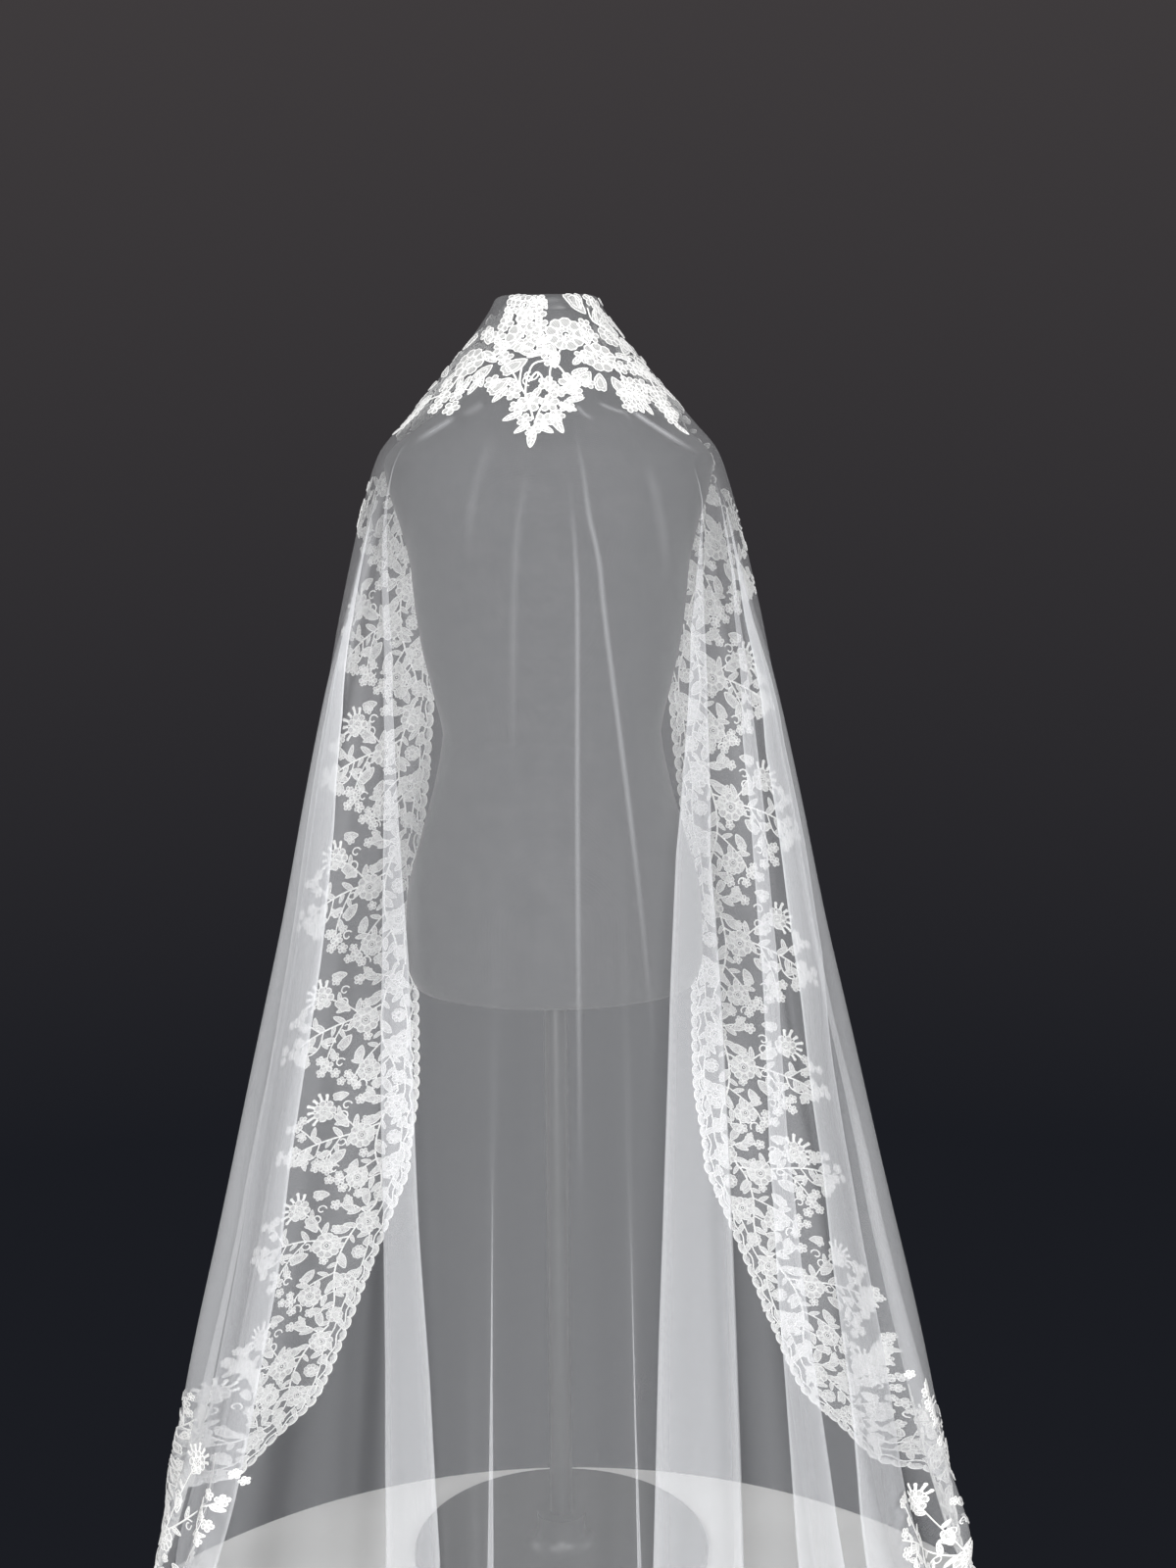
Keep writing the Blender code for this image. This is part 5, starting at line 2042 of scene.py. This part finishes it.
@dataclass
class DressForm:
    """The black limbless form: covered torso, neck cap, pole and round base.

    The torso's rows are height, half width, back, front and power, as a ring's are.
    """

    torso_rows: Rows = (
        (0.742, 0.15, 0.098, 0.092, 2.1), (0.748, 0.166, 0.112, 0.106, 2.1),
        (0.78, 0.176, 0.122, 0.114, 2.1), (0.85, 0.174, 0.122, 0.112, 2.1),
        (0.93, 0.155, 0.108, 0.104, 2.1), (1, 0.136, 0.094, 0.096, 2.1), (1.05, 0.128, 0.088, 0.092, 2.1),
        (1.1, 0.138, 0.09, 0.1, 2.1), (1.15, 0.149, 0.096, 0.113, 2.1), (1.2, 0.156, 0.102, 0.122, 2.1),
        (1.245, 0.16, 0.106, 0.117, 2.2), (1.29, 0.17, 0.107, 0.106, 2.3),
        (1.33, 0.182, 0.103, 0.093, 2.3), (1.362, 0.187, 0.094, 0.081, 2.3),
        (1.38, 0.176, 0.086, 0.073, 2.2), (1.4, 0.15, 0.077, 0.065, 2.1), (1.42, 0.12, 0.068, 0.058, 2),
        (1.44, 0.09, 0.06, 0.053, 2), (1.46, 0.069, 0.055, 0.05, 2), (1.48, 0.055, 0.051, 0.05, 2),
        (1.53, 0.049, 0.049, 0.049, 2),
    )
    sides: int = 160
    rows: int = 170
    seam_depth: float = 0.0009
    seam_width: float = 0.035
    seam_angles: tuple[float, ...] = (0.0, 0.62, 1.5708, 2.45, math.pi)
    cap_radius: float = 0.053
    cap_bottom: float = 1.5303
    cap_top: float = 1.5453
    cap_edge: float = 0.014
    pole_radius: float = 0.014
    pole_bottom: float = 0.0553
    pole_top: float = 0.7417
    base_radius: float = 0.185
    base_thickness: float = 0.012
    base_edge: float = 0.006
    hub_radius: float = 0.030
    hub_height: float = 0.055
    hub_fillet: float = 0.020
    spin_steps: int = 72
    quarter_points: int = 9
    same_place: float = 1e-5
    least_reach: float = 0.02
    waist_height: float = 1.05
    waist_seam: float = 0.004
    bottom_rows: tuple[float, ...] = (0.743, 0.745, 0.748)

    def build(self, jersey: Material, paint: Material) -> Pieces:
        """Makes the pieces of the form.

        Args:
            jersey: The knitted cover.
            paint: The painted metal.

        Returns:
            The pieces.
        """
        pieces = [self.torso(jersey)]
        quarter = np.linspace(0, math.pi / 2, self.quarter_points)
        cap = [(0.0, self.cap_bottom), (self.cap_radius, self.cap_bottom)]
        cap += self.rounded(self.cap_radius, self.cap_top, self.cap_edge, quarter) + [(0.0, self.cap_top)]
        pieces.append(self.turned("neck_cap", cap, paint, "form_neck_cap"))
        pole = [(0.0, self.pole_bottom), (self.pole_radius, self.pole_bottom)]
        pole += [(self.pole_radius, self.pole_top), (0.0, self.pole_top)]
        pieces.append(self.turned("height_pole", pole, paint, "form_pole"))
        base = [(0.0, 0.0), (self.base_radius - MM, 0.0), (self.base_radius, MM)]
        base += self.rounded(self.base_radius, self.base_thickness, self.base_edge, quarter)
        size = self.hub_fillet
        for turn in quarter:
            inward, upward = size * (1 - math.sin(turn)), size * (1 - math.cos(turn))
            base.append((self.hub_radius + inward, self.base_thickness + upward))
        base += [(self.hub_radius, self.hub_height), (0.0, self.hub_height)]
        pieces.append(self.turned("round_base", base, paint, "form_base"))
        return pieces

    @staticmethod
    def rounded(radius: float, height: float, size: float, quarter: Array) -> list[Two]:
        """Points of radius and height that round an outer top edge off."""
        return [(radius - size * (1 - math.cos(t)), height - size * (1 - math.sin(t))) for t in quarter]

    def turned(self, name: str, profile: list[Two], finish: Material, node: str) -> Object:
        """Spins a profile of radius and height round the upright axis.

        Args:
            name: The piece's name.
            profile: Points from the bottom of the axis to its top.
            finish: Its material.
            node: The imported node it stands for.

        Returns:
            The piece.
        """
        bpy.ops.object.select_all(action="DESELECT")
        mesh = bpy.data.meshes.new(name)
        edges = [(k, k + 1) for k in range(len(profile) - 1)]
        mesh.from_pydata([(radius, 0.0, height) for radius, height in profile], edges, [])
        piece = add_object(name, mesh)
        piece.select_set(True)
        bpy.context.view_layer.objects.active = piece
        bpy.ops.object.mode_set(mode="EDIT")
        bpy.ops.mesh.select_all(action="SELECT")
        bpy.ops.mesh.spin(steps=self.spin_steps, angle=2 * math.pi, center=(0, 0, 0), axis=(0, 0, 1))
        bpy.ops.mesh.select_all(action="SELECT")
        bpy.ops.mesh.remove_doubles(threshold=self.same_place)
        bpy.ops.mesh.normals_make_consistent(inside=False)
        bpy.ops.object.mode_set(mode="OBJECT")
        bpy.ops.object.shade_smooth_by_angle(angle=SMOOTH_ANGLE)
        mesh.materials.append(finish)
        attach(piece, ROOT)
        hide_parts(node)
        return piece

    def torso(self, finish: Material) -> Object:
        """The covered torso, with the seams of its cover drawn in.

        Args:
            finish: The knitted cover.

        Returns:
            The piece.
        """
        table = np.array(self.torso_rows)
        heights = np.linspace(table[0, 0], table[-1, 0], self.rows)
        heights = np.unique(np.concatenate([heights, self.bottom_rows]))
        sizes = {
            name: soft_curve(heights, table[:, 0], table[:, k])[:, None]
            for k, name in enumerate(RING_COLUMNS[:5])
        }
        angles = (np.arange(self.sides) * 2 * math.pi / self.sides)[None, :]
        x, y = Drape.oval(angles, sizes)
        folded = np.minimum(angles, 2 * math.pi - angles)
        pressed = np.zeros_like(folded)
        for seam in self.seam_angles:
            pressed = pressed + np.exp(-(((folded - seam) / self.seam_width) ** 2))
        waist = np.exp(-(((heights[:, None] - self.waist_height) / self.waist_seam) ** 2))
        scale = 1 - (self.seam_depth * (pressed + waist)) / np.maximum(np.hypot(x, y), self.least_reach)
        level = np.broadcast_to(heights[:, None], x.shape)
        points = np.stack([x * scale, y * scale, level], -1).reshape(-1, 3)
        grid = point_grid(len(heights), self.sides, closed=True)
        ends = np.array([[0.0, 0.0, heights[0]], [0.0, 0.0, heights[-1]]])
        low, high = len(points), len(points) + 1
        under = np.stack([grid[0, 1:], grid[0, :-1], np.full(self.sides, low)], -1)
        over = np.stack([grid[-1, :-1], grid[-1, 1:], np.full(self.sides, high)], -1)
        faces = np.concatenate([grid_faces(grid.T), under, over])
        piece = mesh_piece("covered_torso", np.concatenate([points, ends]), faces, [finish])
        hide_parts("form_torso")
        return piece


@dataclass
class Studio:
    """The pale platform, the soft lights, the dark room and the camera."""

    platform_radius: float = 0.63
    platform_middle: Two = (0.0, -0.42)
    platform_depth: float = 0.04
    platform_gap: float = 0.0005
    platform_edge: float = 0.006
    platform_sides: int = 128
    platform_low: Triple = (0.55, 0.55, 0.54)
    platform_high: Triple = (0.62, 0.62, 0.61)
    camera_place: Triple = (0.0, -2.5, 1.5)
    camera_tilt: float = 11.6
    camera_turn: float = -0.95
    camera_roll: float = -0.5
    layers: int = 20
    lens: float = 50.0
    sensor: float = 36.0
    room_low: Triple = (0.011, 0.012, 0.016)
    room_high: Triple = (0.050, 0.045, 0.047)
    room_change: Two = (-0.35, 0.15)
    lights: tuple[tuple[str, Triple, Triple, float, float], ...] = (
        ("key", (-1.6, -3.0, 2.6), (0.0, 0.0, 0.95), 1.8, 86.0),
        ("fill", (1.9, -2.9, 1.9), (0.0, 0.0, 0.85), 1.8, 66.0),
        ("top", (0.0, -0.4, 3.5), (0.0, 0.0, 1.0), 1.4, 15.0),
        ("left_rim", (-2.6, 1.2, 1.7), (0.0, 0.0, 0.9), 1.4, 20.0),
        ("right_rim", (2.6, 1.2, 1.7), (0.0, 0.0, 0.9), 1.4, 20.0),
        ("low", (0.0, -3.0, 0.5), (0.0, 0.0, 0.5), 1.6, 50.0),
    )

    def build(self, effects: SharedEffects) -> None:
        """Makes everything that isn't part of the object.

        Args:
            effects: The shared effects.
        """
        self.platform(effects)
        self.room()
        for name, place, aim, size, power in self.lights:
            data = bpy.data.lights.new(name, "AREA")
            data.shape = "DISK"
            data.size = size
            data.energy = power
            lamp = add_object(name, data)
            lamp.location = place
            lamp.rotation_euler = (Vector(aim) - Vector(place)).to_track_quat("-Z", "Y").to_euler()
        self.camera()

    def platform(self, effects: SharedEffects) -> None:
        """A low round pale platform whose top is the floor.

        Args:
            effects: The shared effects.
        """
        bpy.ops.object.select_all(action="DESELECT")
        middle = (*self.platform_middle, -self.platform_depth / 2 - self.platform_gap)
        bpy.ops.mesh.primitive_cylinder_add(
            vertices=self.platform_sides,
            radius=self.platform_radius,
            depth=self.platform_depth,
            location=middle,
        )
        floor = bpy.context.object
        floor.name = "platform"
        bevel = floor.modifiers.new("edge", "BEVEL")
        bevel.width = self.platform_edge
        bevel.segments = 3
        bpy.ops.object.modifier_apply(modifier=bevel.name)
        bpy.ops.object.shade_smooth_by_angle(angle=SMOOTH_ANGLE)
        made = MaterialBuilder("pale_floor")
        mottle = made.effect(effects.mottle, scale=5.0, low=0.0, high=1.0)
        colour = made.blend(mottle, self.platform_low, self.platform_high)
        floor.data.materials.append(made.shade({"Base Color": colour, "Roughness": 0.7}))

    def room(self) -> None:
        """A plain dark room, a little lighter above."""
        world = bpy.data.worlds.new("dark_room")
        bpy.context.scene.world = world
        world.use_nodes = True
        made = NodeBuilder(world.node_tree)
        place = made.node("ShaderNodeTexCoord", {}).outputs["Generated"]
        height = made.node("ShaderNodeSeparateXYZ", {"Vector": place}).outputs["Z"]
        low, high = self.room_change
        share = made.node("ShaderNodeMapRange", {"From Min": low, "From Max": high, "Value": height})
        colour = made.blend(share.outputs["Result"], self.room_low, self.room_high)
        made.fill(world.node_tree.nodes["Background"], {"Color": colour})
        bpy.context.scene.view_settings.view_transform = "Standard"

    def camera(self) -> None:
        """Sets the camera behind the veil, a little above its middle."""
        data = bpy.data.cameras.new("camera")
        data.lens = self.lens
        data.sensor_width = self.sensor
        data.dof.use_dof = False
        camera = add_object("camera", data)
        camera.location = self.camera_place
        aim = Euler((math.radians(90 - self.camera_tilt), 0.0, math.radians(self.camera_turn))).to_matrix()
        roll = Matrix.Rotation(math.radians(self.camera_roll), 3, "Z")
        camera.rotation_euler = (aim @ roll).to_euler()
        bpy.context.scene.camera = camera
        bpy.context.scene.cycles.transparent_max_bounces = self.layers


def clear_startup() -> None:
    """Removes what Blender starts with."""
    for name in ("Cube", "Light", "Camera"):
        thing = bpy.data.objects.get(name)
        if thing is not None:
            bpy.data.objects.remove(thing, do_unlink=True)


def corners(box: tuple[Vector, Vector]) -> list[list[float]]:
    """A box as plain numbers."""
    return [[float(value) for value in corner] for corner in box]


def main() -> None:
    """Builds the veil, the form and the studio."""
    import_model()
    logging.basicConfig(level=logging.INFO, format="%(message)s")
    clear_startup()
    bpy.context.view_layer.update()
    effects = SharedEffects()
    Studio().build(effects)
    for piece in DressForm().build(JerseyFinish().build(effects), PaintFinish().build(effects)):
        LOG.info("form piece %s", piece.name)
    drape = Drape()
    veil = TulleVeil(drape)
    sheet = veil.build(TulleFinish().build(effects))
    outside = [finish.build(effects) for finish in OUTER_LACE]
    # The edge lace's finishes are painted lighter to offset the shade the tulle casts on them.
    inside = [finish.build(effects) for finish in SHADE_LIFTED_LACE]
    lace = LaceBorder(drape).build(outside, inside)


if __name__ == "__main__":
    main()
